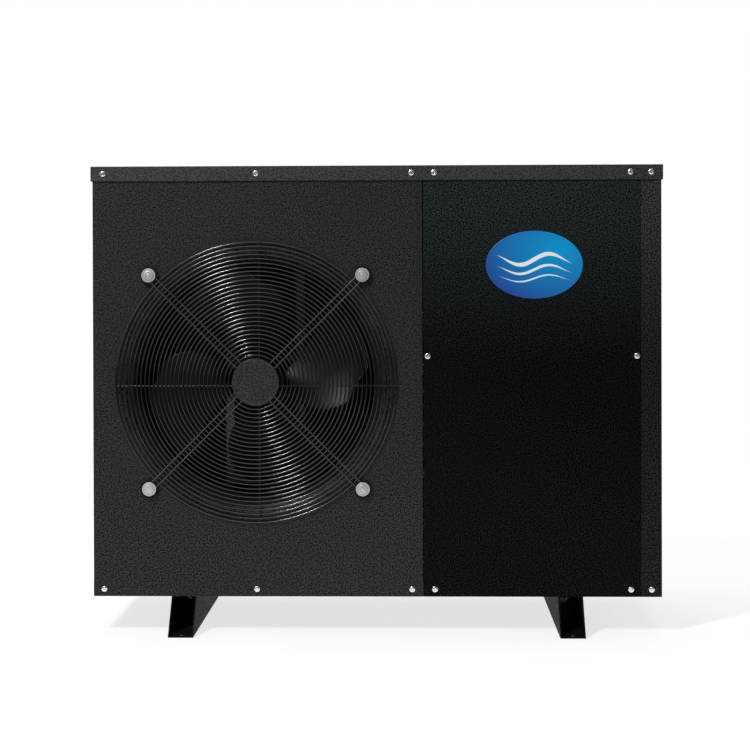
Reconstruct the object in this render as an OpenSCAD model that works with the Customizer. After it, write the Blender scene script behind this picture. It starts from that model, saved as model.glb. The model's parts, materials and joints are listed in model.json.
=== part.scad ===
/* [Cabinet] */
// Width of the cabinet over its side panels
cab_w = 1000; // [980:10:1300]
// Depth of the cabinet over its front and rear panels
cab_d = 400; // [390:10:500]
// Height from the ground to the top of the lid
cab_h = 821; // [805:1:1000]
// Thickness of the panel and lid sheet
sheet = 1.2; // [1:0.1:1.5]
// Depth of the lid's turned-down flange
lid_flange = 26; // [22:1:34]
// Distance from the left side to the seam between the fan panel and the service panel
seam_in = 582.4; // [575:0.1:600]
// Width of the right side panel's front return
post_w = 36; // [30:1:45]

/* [Feet] */
// Height of the foot rails
foot_h = 63; // [50:1:76]
// Width of a foot rail
foot_w = 44; // [38:1:54]
// Distance from the cabinet's middle to each rail's middle
foot_x = 340; // [300:5:400]
// Length of the toe that stands out past the cabinet, front and back
toe = 50; // [50:1:70]
// Radius of the anchor holes in the toes
anchor_r = 6; // [4:0.5:7]

/* [Fan] */
// Diameter of the fan over its blade tips
fan_d = 400; // [330:5:404]
// Distance from the left side to the fan's axis
fan_in = 288; // [284:1:292]
// Number of blades
blades = 4; // [3:1:4]
// Clearance between the blade tips and the bell-mouth's throat
tip_gap = 8; // [6:1:10]
// Radius of the motor shaft
shaft_r = 6; // [5:0.5:7]

/* [Guard] */
// Diameter of the guard's wires
wire_d = 2.5; // [2:0.1:2.8]
// Number of rings
rings = 28; // [16:1:30]
// Radius of the centre disc
disc_r = 41.5; // [36:0.5:44]

/* [Water side] */
// Outer diameter of the water pipes
pipe_d = 50; // [40:1:52]
// Diameter of the heat exchanger's shell
shell_d = 160; // [140:5:164]
// Height of the heat exchanger's shell
shell_h = 500; // [440:10:520]

/* [Refrigerant side] */
// Diameter of the compressor
comp_d = 120; // [100:1:124]
// Height of the compressor's shell
comp_h = 270; // [230:5:290]

/* [Hidden] */
$fn = 48;

gap = 0.3;
run = 0.05;
hole_gap = 0.3;

left = -cab_w / 2;
right = cab_w / 2;
front = -cab_d / 2;
back = cab_d / 2;
seam = left + seam_in;
top = cab_h - sheet;
panel_top = top - gap;
panel_h = panel_top - foot_h;
mid_z = foot_h + panel_h / 2;
fan_x = left + fan_in;
fan_z = (foot_h + cab_h) / 2 - 1;
pan_sheet = 1.5;
floor_z = foot_h + pan_sheet;
pan_flange = 24;
seam_gap = 1.2;
return_w = 14;
lid_out = 2.7;

post_black = [0.13, 0.13, 0.135];
panel_black = [0.1, 0.105, 0.105];
zinc = [0.62, 0.63, 0.63];
steel = [0.75, 0.75, 0.74];
copper = [0.72, 0.42, 0.27];
brass = [0.74, 0.6, 0.3];
pvc_grey = [0.36, 0.38, 0.4];
rubber_black = [0.05, 0.05, 0.05];

// ---- Shared shapes

// A box given by its low corner and its high corner
module block(a, b) {
    translate(a) cube(b - a);
}

// Turns local Z to the unit direction u, which lies along X, Y or Z
module aim(p, u) {
    v = [abs(u.z), abs(u.x), abs(u.y)];
    w = cross(u, v);
    multmatrix([
        [v.x, w.x, u.x, p.x],
        [v.y, w.y, u.y, p.y],
        [v.z, w.z, u.z, p.z],
        [0, 0, 0, 1]
    ]) children();
}

// A rod from p along u
module rod(p, u, length, r) {
    aim(p, u) cylinder(r = r, h = length);
}

// A tube from p along u
module tube(p, u, length, r, inner) {
    aim(p, u) difference() {
        cylinder(r = r, h = length);
        translate([0, 0, -1]) cylinder(r = inner, h = length + 2);
    }
}

// A quarter bend at the corner p, from direction a to direction b
module elbow(p, a, b, r, bend) {
    c = p - a * bend + b * bend;
    n = cross(-b, a);
    multmatrix([
        [-b.x, a.x, n.x, c.x],
        [-b.y, a.y, n.y, c.y],
        [-b.z, a.z, n.z, c.z],
        [0, 0, 0, 1]
    ]) rotate_extrude(angle = 90) translate([bend, 0]) circle(r = r);
}

function way(a, b) = (b - a) / norm(b - a);

// A pipe through a list of corners, each leg along X, Y or Z
module pipe(corners, r, bend) {
    last = len(corners) - 1;
    for (i = [0 : last - 1]) {
        u = way(corners[i], corners[i + 1]);
        skip = i == 0 ? 0 : bend;
        stop = i == last - 1 ? 0 : bend;
        rod(corners[i] + u * skip, u, norm(corners[i + 1] - corners[i]) - skip - stop, r);
    }
    for (i = [1 : last - 1])
        elbow(
            corners[i], way(corners[i - 1], corners[i]), way(corners[i], corners[i + 1]), r, bend
        );
}

// ---- Screw places

head_r = 5.25;
head_h = 2.6;
screw_r = 2.1;
lid_screw_z = cab_h - 14;
low_screw_z = foot_h + 13;
mid_screw_z = foot_h + 423;
mid_screws = [seam + 8, right - post_w - 7];
front_screws = [left + 19, fan_x + 1, seam - 20, seam + 20, right - post_w - 18, right - 18];
back_screws = [left + 19, seam + 20, right - post_w - 18, right - 18];
side_screws = [front + 20, back - 20];

// A pan-head screw at p, whose shank runs along u into the sheet
module pan_screw(p, u, length) {
    difference() {
        rod(p - u * head_h, u, head_h, head_r);
        rod(p - u * (head_h + 1), u, 2.4, 1.8);
    }
    rod(p, u, length, screw_r);
}

module screw_hole(p, u) {
    rod(p - u * 8, u, 16, screw_r + hole_gap);
}

// The holes that the screws of every panel and of the lid pass through
module all_screw_holes() {
    for (x = front_screws)
        for (z = [lid_screw_z, low_screw_z]) screw_hole([x, front, z], [0, 1, 0]);
    for (x = back_screws)
        for (z = [lid_screw_z, low_screw_z]) screw_hole([x, back, z], [0, -1, 0]);
    for (x = mid_screws) screw_hole([x, front, mid_screw_z], [0, 1, 0]);
    for (y = side_screws) {
        screw_hole([left, y, lid_screw_z], [1, 0, 0]);
        screw_hole([right, y, lid_screw_z], [-1, 0, 0]);
    }
}

module lid_screws() {
    out = lid_out;
    color(steel) {
        for (x = front_screws) pan_screw([x, front - out, lid_screw_z], [0, 1, 0], 7);
        for (x = back_screws) pan_screw([x, back + out, lid_screw_z], [0, -1, 0], 7);
        for (y = side_screws) {
            pan_screw([left - out, y, lid_screw_z], [1, 0, 0], 7);
            pan_screw([right + out, y, lid_screw_z], [-1, 0, 0], 7);
        }
    }
}

// The panels' lower screws, and the pair at the service panel's middle
module panel_screws() {
    color(steel) {
        for (x = front_screws) pan_screw([x, front, low_screw_z], [0, 1, 0], 6);
        for (x = back_screws) pan_screw([x, back, low_screw_z], [0, -1, 0], 6);
        for (x = mid_screws) pan_screw([x, front, mid_screw_z], [0, 1, 0], 6);
    }
}

// ---- Base pan, rails and their bolts

bolt_y = cab_d * 0.3;
rail_sheet = 2.5;
lip = 15;

comp = [left + 700, 20];
comp_bolt_r = comp_d / 2 + 16;
comp_bolt_angles = [30, 150, 270];
drain = [left + 400, 60];

module at_comp_bolts() {
    for (a = comp_bolt_angles)
        translate([comp.x + comp_bolt_r * cos(a), comp.y + comp_bolt_r * sin(a), 0]) children();
}

module base_pan() {
    inset = sheet + gap;
    wall = inset + pan_sheet;
    color(panel_black) difference() {
        block([left + inset, front + inset, foot_h], [right - inset, back - inset, foot_h + pan_flange]);
        block([left + wall, front + wall, floor_z], [right - wall, back - wall, cab_h]);
        all_screw_holes();
        for (x = [-foot_x, foot_x])
            for (y = [-bolt_y, bolt_y]) rod([x, y, 0], [0, 0, 1], cab_h / 2, 4.5);
        at_comp_bolts() cylinder(r = 4.5, h = cab_h / 2);
        rod([drain.x, drain.y, 0], [0, 0, 1], cab_h / 2, 10);
    }
}

// One foot rail, an open channel with its lips turned in under the cabinet
module foot_rail(x) {
    half = foot_w / 2;
    tip = back + toe;
    color(post_black) translate([x, 0, 0]) difference() {
        translate([-half, 0, 0]) rotate([90, 0, 90]) linear_extrude(foot_w) polygon([
            [-tip, 0], [tip, 0], [tip, rail_sheet], [back, foot_h], [-back, foot_h], [-tip, rail_sheet]
        ]);
        inner = half - rail_sheet;
        block([-inner, -tip - 1, rail_sheet], [inner, tip + 1, foot_h - rail_sheet]);
        block([-inner + lip, -tip, rail_sheet], [inner - lip, tip, foot_h + 1]);
        for (side = [-1, 1]) translate([0, side * (tip - 16), -1]) cylinder(r = anchor_r, h = 5);
        for (side = [-1, 1]) translate([0, side * (back - 46), -1]) cylinder(r = 5, h = 5);
        // the lips stop short of the toes
        for (y = [-tip, back - 4]) block([-inner, y, rail_sheet], [inner, y + toe + 4, foot_h + 1]);
    }
}

module foot_rail_left() {
    foot_rail(-foot_x);
}

module foot_rail_right() {
    foot_rail(foot_x);
}

module rail_bolts() {
    color(zinc) for (x = [-foot_x, foot_x]) for (y = [-bolt_y, bolt_y]) translate([x, y, 0]) {
        translate([0, 0, floor_z]) cylinder(r = 7.5, h = 5.5, $fn = 6);
        translate([0, 0, foot_h - 18]) cylinder(r = 4, h = 18 + pan_sheet + 0.1);
        translate([0, 0, foot_h - rail_sheet - 2]) cylinder(r = 11, h = 2);
        translate([0, 0, foot_h - rail_sheet - 9]) cylinder(r = 7.5, h = 7, $fn = 6);
    }
}

module drain_spout() {
    color(rubber_black) translate([drain.x, drain.y, 0]) difference() {
        union() {
            translate([0, 0, floor_z]) cylinder(r = 14, h = 2);
            translate([0, 0, foot_h - 25]) cylinder(r = 9.5, h = 25 + pan_sheet + 0.1);
        }
        translate([0, 0, foot_h - 30]) cylinder(r = 7, h = 40);
    }
}

// ---- Lid and panels

module lid() {
    inner = lid_out - sheet;
    color(post_black) difference() {
        block([left - lid_out, front - lid_out, cab_h - lid_flange], [right + lid_out, back + lid_out, cab_h]);
        block([left - inner, front - inner, 0], [right + inner, back + inner, top]);
        all_screw_holes();
    }
}

bell_r = 36;
throat_r = fan_d / 2 + tip_gap;
mouth_r = throat_r + bell_r;
collar = 28;
guard_bolt = (mouth_r + 22) * cos(45);

// Turns a shape's own Z to the fan's axis: its Z is the distance in front of the cabinet's middle
module on_fan() {
    translate([fan_x, 0, fan_z]) rotate([90, 0, 0]) children();
}

module at_guard_bolts() {
    on_fan() for (x = [-guard_bolt, guard_bolt]) for (y = [-guard_bolt, guard_bolt])
        translate([x, y, 0]) children();
}

module bell_mouth() {
    face = -front;
    on_fan() translate([0, 0, face - bell_r]) rotate_extrude($fn = 96) {
        intersection() {
            difference() {
                translate([mouth_r, 0]) circle(r = bell_r);
                translate([mouth_r, 0]) circle(r = bell_r - sheet);
            }
            square([mouth_r, bell_r]);
        }
        translate([throat_r, -collar]) square([sheet, collar]);
        translate([mouth_r, bell_r - sheet]) square([2, sheet]);
    }
}

module fan_panel() {
    edge = seam - seam_gap / 2;
    color(panel_black) {
        difference() {
            union() {
                block([left, front, foot_h], [edge, front + sheet, panel_top]);
                block([left, front, foot_h + pan_flange + 6], [left + sheet, front + 40, panel_top]);
                block([left, front, panel_top - sheet], [edge, front + return_w, panel_top]);
                block([edge - sheet, front, foot_h + pan_flange + 6], [edge, front + return_w, panel_top]);
            }
            on_fan() cylinder(r = mouth_r + 1, h = cab_d, $fn = 96);
            at_guard_bolts() cylinder(r = 4.3, h = cab_d);
            all_screw_holes();
        }
        bell_mouth();
    }
}

module service_panel() {
    a = seam + seam_gap / 2;
    b = right - post_w - seam_gap / 2;
    color(panel_black) difference() {
        union() {
            block([a, front, foot_h], [b, front + sheet, panel_top]);
            block([a, front, panel_top - sheet], [b, front + return_w, panel_top]);
            for (x = [a, b - sheet])
                block([x, front, foot_h + pan_flange + 6], [x + sheet, front + 5, panel_top]);
        }
        all_screw_holes();
    }
}

module right_side_panel() {
    color(post_black) difference() {
        union() {
            block([right - sheet, front, foot_h], [right, back, panel_top]);
            for (y = [front, back - sheet])
                block([right - post_w, y, foot_h], [right, y + sheet, panel_top]);
            for (y = [front, back - return_w])
                block([right - post_w, y, panel_top - sheet], [right, y + return_w, panel_top]);
            // strip behind the service panel's edge that takes its screw
            block(
                [right - post_w - 16, front + 6, foot_h + pan_flange + 6],
                [right - post_w + sheet, front + 6 + sheet, panel_top - 2]
            );
            block(
                [right - post_w, front, foot_h + pan_flange + 6],
                [right - post_w + sheet, front + 6 + sheet, panel_top - 2]
            );
        }
        all_screw_holes();
    }
}

water_x = right - 100;
water_y = 50;
inlet_z = foot_h + 95;
outlet_z = foot_h + 440;
gland_x = seam + 60;
gland_zs = [foot_h + 560, foot_h + 610];

module rear_panel() {
    color(panel_black) difference() {
        union() {
            block([seam + gap, back - sheet, foot_h], [right - post_w - gap, back, panel_top]);
            block([seam + gap, back - return_w, panel_top - sheet], [right - post_w - gap, back, panel_top]);
        }
        for (z = [inlet_z, outlet_z]) rod([water_x, back - 5, z], [0, 1, 0], 10, pipe_d / 2 + 2);
        for (z = gland_zs) rod([gland_x, back - 5, z], [0, 1, 0], 10, 10.3);
        all_screw_holes();
    }
}

// Cable glands, held in the rear panel by their own nuts
module cable_glands() {
    color(rubber_black) for (z = gland_zs) difference() {
        union() {
            rod([gland_x, back, z], [0, 1, 0], 4, 13);
            rod([gland_x, back - 9, z], [0, 1, 0], 28, 10);
            rod([gland_x, back - sheet - 4, z], [0, 1, 0], 4, 13);
            rod([gland_x, back + 4, z], [0, 1, 0], 14, 11.5);
        }
        rod([gland_x, back - 12, z], [0, 1, 0], 40, 5);
    }
}

module rear_corner_post() {
    color(post_black) difference() {
        union() {
            block([left, back - 40, foot_h], [left + sheet, back, panel_top]);
            block([left, back - sheet, foot_h], [left + 40, back, panel_top]);
            block([left, back - 40, panel_top - sheet], [left + 40, back, panel_top]);
        }
        all_screw_holes();
    }
}

partition_x = seam - 7;
cable_y = -42;
cable_z = cab_h - 90;

module partition() {
    y1 = front + 4;
    y2 = back - 46;
    color(zinc) {
        difference() {
            block([partition_x, y1, floor_z + gap], [partition_x + sheet, y2, panel_top - 2]);
            rod([partition_x - 5, cable_y, cable_z], [1, 0, 0], 10, 6);
        }
        block([partition_x, y1, floor_z + gap], [partition_x + 20, y2, floor_z + gap + sheet]);
        block([partition_x, y2 - sheet, floor_z + gap], [partition_x + 8, y2, panel_top - 2]);
    }
}

// ---- Coil guards: welded wire grids behind the open sides

grid_r = 1.5;

grid_y = sheet + 0.1 + grid_r;

// A grid in the local XZ plane: long bars held behind the panels' edges, and uprights behind them
module wire_grid(w) {
    bars = 12;
    posts = round(w / 42);
    low = foot_h + pan_flange + 8;
    high = panel_top - 12;
    hold = 12;
    for (i = [0 : posts]) translate([w * i / posts, -2 * grid_r - 0.05, floor_z + gap])
        cylinder(r = grid_r, h = panel_top - 4 - floor_z);
    for (i = [0 : bars])
        rod([-hold, 0, low + (high - low) * i / bars], [1, 0, 0], w + 2 * hold, grid_r);
}

module rear_coil_guard() {
    x1 = left + 46;
    color(post_black) translate([x1, back - grid_y, 0]) wire_grid(seam - x1 - 5);
}

module left_coil_guard() {
    y1 = front + 46;
    color(post_black) translate([left + grid_y, y1, 0]) rotate([0, 0, 90]) wire_grid(back - 46 - y1);
}

// ---- Fan guard

guard_out = 0.1;
wire_r = wire_d / 2;
cross_y = front - guard_out - wire_r;
ring_y = cross_y - wire_d - guard_out;
pin_y = ring_y - wire_d - guard_out;
disc_back = pin_y - wire_r - guard_out;
disc_t = 1.5;
ring_first = disc_r + 6.5;
ring_last = mouth_r + 3;
pin_half = 5.8;

module guard_rings() {
    pitch = (ring_last - ring_first) / (rings - 1);
    color(post_black) on_fan() translate([0, 0, -ring_y])
        for (i = [0 : rings - 1]) rotate_extrude($fn = 96)
            translate([ring_first + pitch * i, 0]) circle(r = wire_r, $fn = 8);
}

// One double spoke along local X, closed by a loop round its bolt
module hairpin() {
    far = guard_bolt / cos(45);
    near = disc_r - 14;
    union() {
        for (y = [-pin_half, pin_half]) rod([near, y, 0], [1, 0, 0], far - near, wire_r);
        multmatrix([[0, 1, 0, far], [-1, 0, 0, 0], [0, 0, 1, 0], [0, 0, 0, 1]])
            rotate_extrude(angle = 180) translate([pin_half, 0]) circle(r = wire_r);
    }
}

module guard_hairpins() {
    color(post_black) on_fan() translate([0, 0, -pin_y])
        for (a = [45 : 90 : 315]) rotate([0, 0, a]) hairpin();
}

module guard_cross_wires() {
    off = [6, -7];
    color(post_black) union() {
        rod([fan_x - ring_last, cross_y, fan_z + off.y], [1, 0, 0], 2 * ring_last, wire_r);
        rod([fan_x + off.x, cross_y, fan_z - ring_last], [0, 0, 1], 2 * ring_last, wire_r);
    }
}

module guard_disc() {
    color(post_black) rod([fan_x, disc_back, fan_z], [0, -1, 0], disc_t, disc_r);
}

module guard_spacers() {
    color(rubber_black) at_guard_bolts() difference() {
        translate([0, 0, -front]) cylinder(r = 16, h = -pin_y - wire_r + front);
        cylinder(r = 4.5, h = cab_d);
    }
}

washer_t = 1.6;
washer_back = -pin_y + wire_r;

module guard_washers() {
    color(steel) at_guard_bolts() difference() {
        union() {
            translate([0, 0, washer_back]) cylinder(r = 12.25, h = washer_t);
            translate([0, 0, washer_back + washer_t]) cylinder(r = 9.2, h = 0.8);
        }
        cylinder(r = 4.3, h = cab_d);
    }
}

module guard_bolts() {
    base = washer_back + washer_t + 0.8;
    color(steel) at_guard_bolts() {
        translate([0, 0, base]) cylinder(r1 = 7.4, r2 = 6.4, h = 1.6);
        translate([0, 0, base + 1.6]) cylinder(r1 = 6.4, r2 = 3.2, h = 1.2);
        translate([0, 0, -front - 12]) cylinder(r = 4, h = base + front + 12.1);
    }
}

// ---- Badge

badge_w = 170;
badge_h = 119;

module badge() {
    color([0.1, 0.33, 0.6]) translate([right - 222, front - gap / 3, foot_h + 583]) rotate([90, 0, 0])
        scale([1, badge_h / badge_w, 1]) cylinder(d = badge_w, h = 1, $fn = 120);
}

// ---- Fan, motor and bracket. Each is drawn with its own Z on the fan's axis

hub_r = 46;
hub_back = -front - 80;
hub_len = 45;
hub_front = hub_back + hub_len;
blade_turn = 12;
motor_r = 50;
motor_back = 12;
motor_front = hub_back - 14;

// One point of a blade's skin: v runs out from the hub, u across the blade, side is 1 in front
function blade_point(u, v, side) =
    let (
        r = hub_r - 3 + (fan_d / 2 - hub_r + 3) * v,
        spread = 50 + 14 * sin(180 * v),
        lean = 26 * v * v - 12,
        a = lean + (u - 0.5) * spread,
        depth = 36 + 16 * v,
        thick = 0.7 + 2.2 * sin(180 * u) * (1 - 0.5 * v),
        rise = (0.5 - u) * depth - 6 * sin(180 * u)
    )
    [r * cos(a), r * sin(a), hub_back + hub_len / 2 + rise + 3 + side * thick];

module blade() {
    nu = 14;
    nv = 12;
    row = nu + 1;
    layer = row * (nv + 1);
    points = [
        for (side = [1, -1]) for (j = [0 : nv]) for (i = [0 : nu])
            blade_point(i / nu, j / nv, side)
    ];
    function at(side, i, j) = side * layer + j * row + i;
    skins = [
        for (j = [0 : nv - 1]) for (i = [0 : nu - 1]) each [
            [at(1, i, j), at(1, i, j + 1), at(1, i + 1, j + 1)],
            [at(1, i, j), at(1, i + 1, j + 1), at(1, i + 1, j)],
            [at(0, i, j), at(0, i + 1, j + 1), at(0, i, j + 1)],
            [at(0, i, j), at(0, i + 1, j), at(0, i + 1, j + 1)]
        ]
    ];
    rims = [
        for (i = [0 : nu - 1]) each [
            [at(0, i, 0), at(1, i, 0), at(1, i + 1, 0)],
            [at(0, i, 0), at(1, i + 1, 0), at(0, i + 1, 0)],
            [at(0, i, nv), at(1, i + 1, nv), at(1, i, nv)],
            [at(0, i, nv), at(0, i + 1, nv), at(1, i + 1, nv)]
        ],
        for (j = [0 : nv - 1]) each [
            [at(0, 0, j), at(1, 0, j + 1), at(1, 0, j)],
            [at(0, 0, j), at(0, 0, j + 1), at(1, 0, j + 1)],
            [at(0, nu, j), at(1, nu, j), at(1, nu, j + 1)],
            [at(0, nu, j), at(1, nu, j + 1), at(0, nu, j + 1)]
        ]
    ];
    polyhedron(points, concat(skins, rims));
}

module fan_impeller() {
    color([0.16, 0.17, 0.18]) on_fan() difference() {
        union() {
            difference() {
                translate([0, 0, hub_back]) cylinder(r = hub_r, h = hub_len);
                translate([0, 0, hub_back - 1]) cylinder(r = hub_r - 5, h = hub_len - 4);
            }
            translate([0, 0, hub_back + 6]) cylinder(r = 14, h = hub_len - 7);
            for (k = [0 : blades - 1]) rotate([0, 0, 360 * k / blades + blade_turn]) blade();
        }
        cylinder(r = shaft_r + run, h = cab_d);
    }
}

module hub_nut() {
    color(steel) on_fan() difference() {
        translate([0, 0, hub_front + gap / 3]) cylinder(r = 11, h = 8, $fn = 6);
        cylinder(r = shaft_r + run, h = cab_d);
    }
}

module motor_shaft() {
    color(steel) on_fan() translate([0, 0, motor_back + 4])
        cylinder(r = shaft_r, h = hub_front + 7 - motor_back);
}

module motor_rotor() {
    color([0.35, 0.35, 0.37]) on_fan() difference() {
        translate([0, 0, motor_back + 22]) cylinder(r = 28, h = motor_front - motor_back - 44);
        cylinder(r = shaft_r + run, h = cab_d);
    }
}

module motor_stator() {
    color(copper) on_fan() difference() {
        translate([0, 0, motor_back + 20]) cylinder(r = motor_r - 3, h = motor_front - motor_back - 38);
        cylinder(r = 28 + 2 * gap, h = cab_d);
    }
}

module motor_bearings() {
    color(steel) on_fan() for (z = [motor_back + 3, motor_front - 11]) difference() {
        translate([0, 0, z]) cylinder(r = 13, h = 8);
        cylinder(r = shaft_r + run, h = cab_d);
    }
}

module motor_housing() {
    color([0.2, 0.2, 0.21]) on_fan() difference() {
        union() {
            translate([0, 0, motor_back + 3]) cylinder(r = motor_r, h = motor_front - motor_back - 3);
            translate([0, 0, motor_front - 1]) cylinder(r = 18, h = 5);
        }
        translate([0, 0, motor_back]) cylinder(r = motor_r - 3, h = motor_front - motor_back - 12);
        translate([0, 0, motor_back]) cylinder(r = 13, h = motor_front - motor_back - 3);
        cylinder(r = shaft_r + 1, h = cab_d);
    }
}

module motor_end_cap() {
    color([0.2, 0.2, 0.21]) on_fan() difference() {
        union() {
            translate([0, 0, motor_back]) cylinder(r = motor_r, h = 3);
            translate([0, 0, motor_back + 3]) cylinder(r = 16, h = 8);
        }
        translate([0, 0, motor_back + 3]) cylinder(r = 13, h = 20);
        for (x = [-30, 30]) for (y = [-30, 30]) translate([x, y, 0]) cylinder(r = 2.6, h = 30);
    }
}

rail_x = 65;

module motor_bracket() {
    y2 = -motor_back;
    color(post_black) difference() {
        union() {
            for (side = [-1, 1]) translate([fan_x + side * rail_x, 0, 0]) {
                block([-7, y2, floor_z + gap], [7, y2 + 1.8, panel_top - 2]);
                block([side * 7 - 0.9, y2, floor_z + gap], [side * 7 + 0.9, y2 + 22, panel_top - 2]);
                block([-7, y2, floor_z + gap], [7, y2 + 30, floor_z + gap + 1.8]);
            }
            for (z = [-30, 30]) block(
                [fan_x - rail_x - 7, y2, fan_z + z - 10], [fan_x + rail_x + 7, y2 + 1.8, fan_z + z + 10]
            );
            block(
                [fan_x - rail_x - 7, y2, fan_z - 200], [fan_x + rail_x + 7, y2 + 1.8, fan_z - 184]
            );
        }
        for (x = [-30, 30]) for (z = [-30, 30])
            rod([fan_x + x, y2 - 5, fan_z + z], [0, 1, 0], 20, 2.6);
    }
}

module motor_screws() {
    color(steel) for (x = [-30, 30]) for (z = [-30, 30]) {
        rod([fan_x + x, -motor_back + 1.8, fan_z + z], [0, 1, 0], 3, 4.5);
        rod([fan_x + x, -motor_back - 2.8, fan_z + z], [0, 1, 0], 5, 2.4);
    }
}

module motor_cable() {
    y = cable_y;
    color(rubber_black) pipe([
        [fan_x, y, fan_z + motor_r + 0.2],
        [fan_x, y, cable_z],
        [partition_x + 12, y, cable_z]
    ], 3.5, 12);
}

// ---- Evaporator: an L of fins round the left and rear sides, its tubes in two rows

fin_t = 28;
coil_out = 14;
coil_z1 = floor_z + 4;
coil_z2 = panel_top - 6;
coil_end_x = seam - 4;
coil_end_y = front + 50;
tube_pitch = 25.4;
bends = floor((coil_z2 - coil_z1 - 20) / (2 * tube_pitch));
row_y = back - coil_out - fin_t * 0.7;

module evaporator_fins() {
    x1 = left + coil_out;
    y2 = back - coil_out;
    turn = 60;
    color([0.66, 0.68, 0.7]) translate([0, 0, coil_z1]) linear_extrude(coil_z2 - coil_z1) {
        translate([x1 + turn, y2 - fin_t]) square([coil_end_x - x1 - turn, fin_t]);
        translate([x1, coil_end_y]) square([fin_t, y2 - turn - coil_end_y]);
        intersection() {
            translate([x1 + turn, y2 - turn]) difference() {
                circle(r = turn);
                circle(r = turn - fin_t);
            }
            translate([x1, y2 - turn]) square(turn);
        }
    }
}

// The tube sheet at the coil's service end, with the hairpin tubes' return bends
module evaporator_bends() {
    y2 = back - coil_out;
    x = coil_end_x + gap;
    color(zinc) block([x, y2 - fin_t, coil_z1], [x + 1.5, y2, coil_z2]);
    color(copper) for (i = [0 : bends - 1])
        translate([x + 1.5, row_y, coil_z1 + 12 + (2 * i + 1) * tube_pitch]) rotate([90, 0, 0])
            rotate([0, 0, -90]) rotate_extrude(angle = 180) translate([tube_pitch / 2, 0]) circle(r = 4);
}

header_x = coil_end_x + 29;
header_y = back - coil_out - 6;
header_r = 8;

module evaporator_headers() {
    x = coil_end_x + gap + 1.5;
    color(copper) {
        rod([header_x, header_y, coil_z1 + 60], [0, 0, 1], coil_z2 - coil_z1 - 160, header_r);
        for (i = [2 : 4 : bends * 2 - 6]) rod(
            [x, header_y, coil_z1 + 12 + i * tube_pitch], [1, 0, 0], header_x - x, 4
        );
    }
}

// ---- Compressor and its mounting

comp_z = floor_z + 20;
acc = [comp.x, comp.y - comp_d / 2 - 36];
acc_r = 30;
acc_top = comp_z + 250;
comp_top = comp_z + comp_h;

module compressor() {
    r = comp_d / 2;
    color([0.12, 0.12, 0.13]) {
        difference() {
            translate([comp.x, comp.y, comp_z]) linear_extrude(3)
                for (a = comp_bolt_angles) hull() {
                    circle(r = r * 0.7, $fn = 32);
                    translate([comp_bolt_r * cos(a), comp_bolt_r * sin(a)]) circle(r = 13, $fn = 32);
                }
            at_comp_bolts() cylinder(r = 5, h = cab_h);
        }
        translate([comp.x, comp.y, comp_z + 2.5]) rotate_extrude() polygon(concat(
            [[0, 0], [r - 18, 0]],
            [for (a = [-90 : 15 : 0]) [r - 18 + 18 * cos(a), 18 + 18 * sin(a)]],
            [for (a = [0 : 15 : 90]) [r - 34 + 34 * cos(a), comp_h - 40 + 30 * sin(a)]],
            [[0, comp_h - 10]]
        ));
        // terminal cover on the shell's top
        translate([comp.x + 22, comp.y - 8, comp_z + comp_h - 9]) cylinder(r = 17, h = 22);
    }
}

module compressor_grommets() {
    color(rubber_black) at_comp_bolts() difference() {
        translate([0, 0, floor_z]) union() {
            cylinder(r = 15, h = 8);
            cylinder(r = 11, h = 20);
        }
        cylinder(r = 4.4, h = cab_h);
    }
}

module compressor_bolts() {
    color(zinc) at_comp_bolts() {
        translate([0, 0, comp_z + 3]) cylinder(r = 9, h = 1.6);
        translate([0, 0, comp_z + 4.6]) cylinder(r = 7.5, h = 5, $fn = 6);
        translate([0, 0, foot_h - 6]) cylinder(r = 4, h = comp_z + 3.1 - foot_h + 6);
    }
}

module accumulator() {
    z1 = acc_top - 190;
    color([0.12, 0.12, 0.13]) {
        translate([acc.x, acc.y, z1]) cylinder(r1 = acc_r - 10, r2 = acc_r, h = 12);
        translate([acc.x, acc.y, z1 + 12]) cylinder(r = acc_r, h = 166);
        translate([acc.x, acc.y, z1 + 178]) cylinder(r1 = acc_r, r2 = acc_r - 16, h = 12);
        // strap to the compressor
        translate([acc.x - 10, acc.y + acc_r - 2, z1 + 90]) cube([20, comp.y - comp_d / 2 - acc.y - acc_r + 1.9, 14]);
    }
}

// ---- Refrigerant circuit

valve_z = comp_top + 90;
port_x = [comp.x - 30, comp.x, comp.x + 30];
port_top = valve_z + 42;

module reversing_valve() {
    color(brass) {
        rod([comp.x - 56, comp.y, valve_z], [1, 0, 0], 112, 14);
        for (x = port_x) rod([x, comp.y, valve_z], [0, 0, 1], 42, 7);
        rod([comp.x, comp.y, valve_z - 38], [0, 0, 1], 38, 6);
    }
    // pilot valve with its solenoid
    color([0.15, 0.2, 0.5]) block(
        [comp.x - 16, comp.y - 46, valve_z - 16], [comp.x + 16, comp.y - 13.8, valve_z + 16]
    );
}

dry = [comp.x - 62, back - 58];
dry_z = comp_top + 60;
exv_z = dry_z - 80;

module filter_drier() {
    color(copper) translate([dry.x, dry.y, dry_z]) {
        cylinder(r1 = 6, r2 = 15, h = 14);
        translate([0, 0, 14]) cylinder(r = 15, h = 76);
        translate([0, 0, 90]) cylinder(r1 = 15, r2 = 6, h = 14);
    }
}

module expansion_valve() {
    color(brass) {
        translate([dry.x, dry.y, exv_z]) cylinder(r = 12, h = 34);
        translate([dry.x, dry.y, exv_z + 33]) cylinder(r = 5, h = 47 - gap);
        rod([dry.x, dry.y, exv_z + 18], [1, 0, 0], 24, 7);
        // distributor under the valve
        translate([dry.x, dry.y, exv_z - 30]) cylinder(r1 = 12, r2 = 5, h = 30.1);
    }
    color(rubber_black) rod([dry.x + 23.9, dry.y, exv_z + 18], [1, 0, 0], 26, 18);
}

cap_top = floor_z + gap + shell_h + 2 * 18;
gas_port = [water_x - 30, comp.y];
liquid_port = [water_x, water_y + 40];
port_stub = 12;

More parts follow.
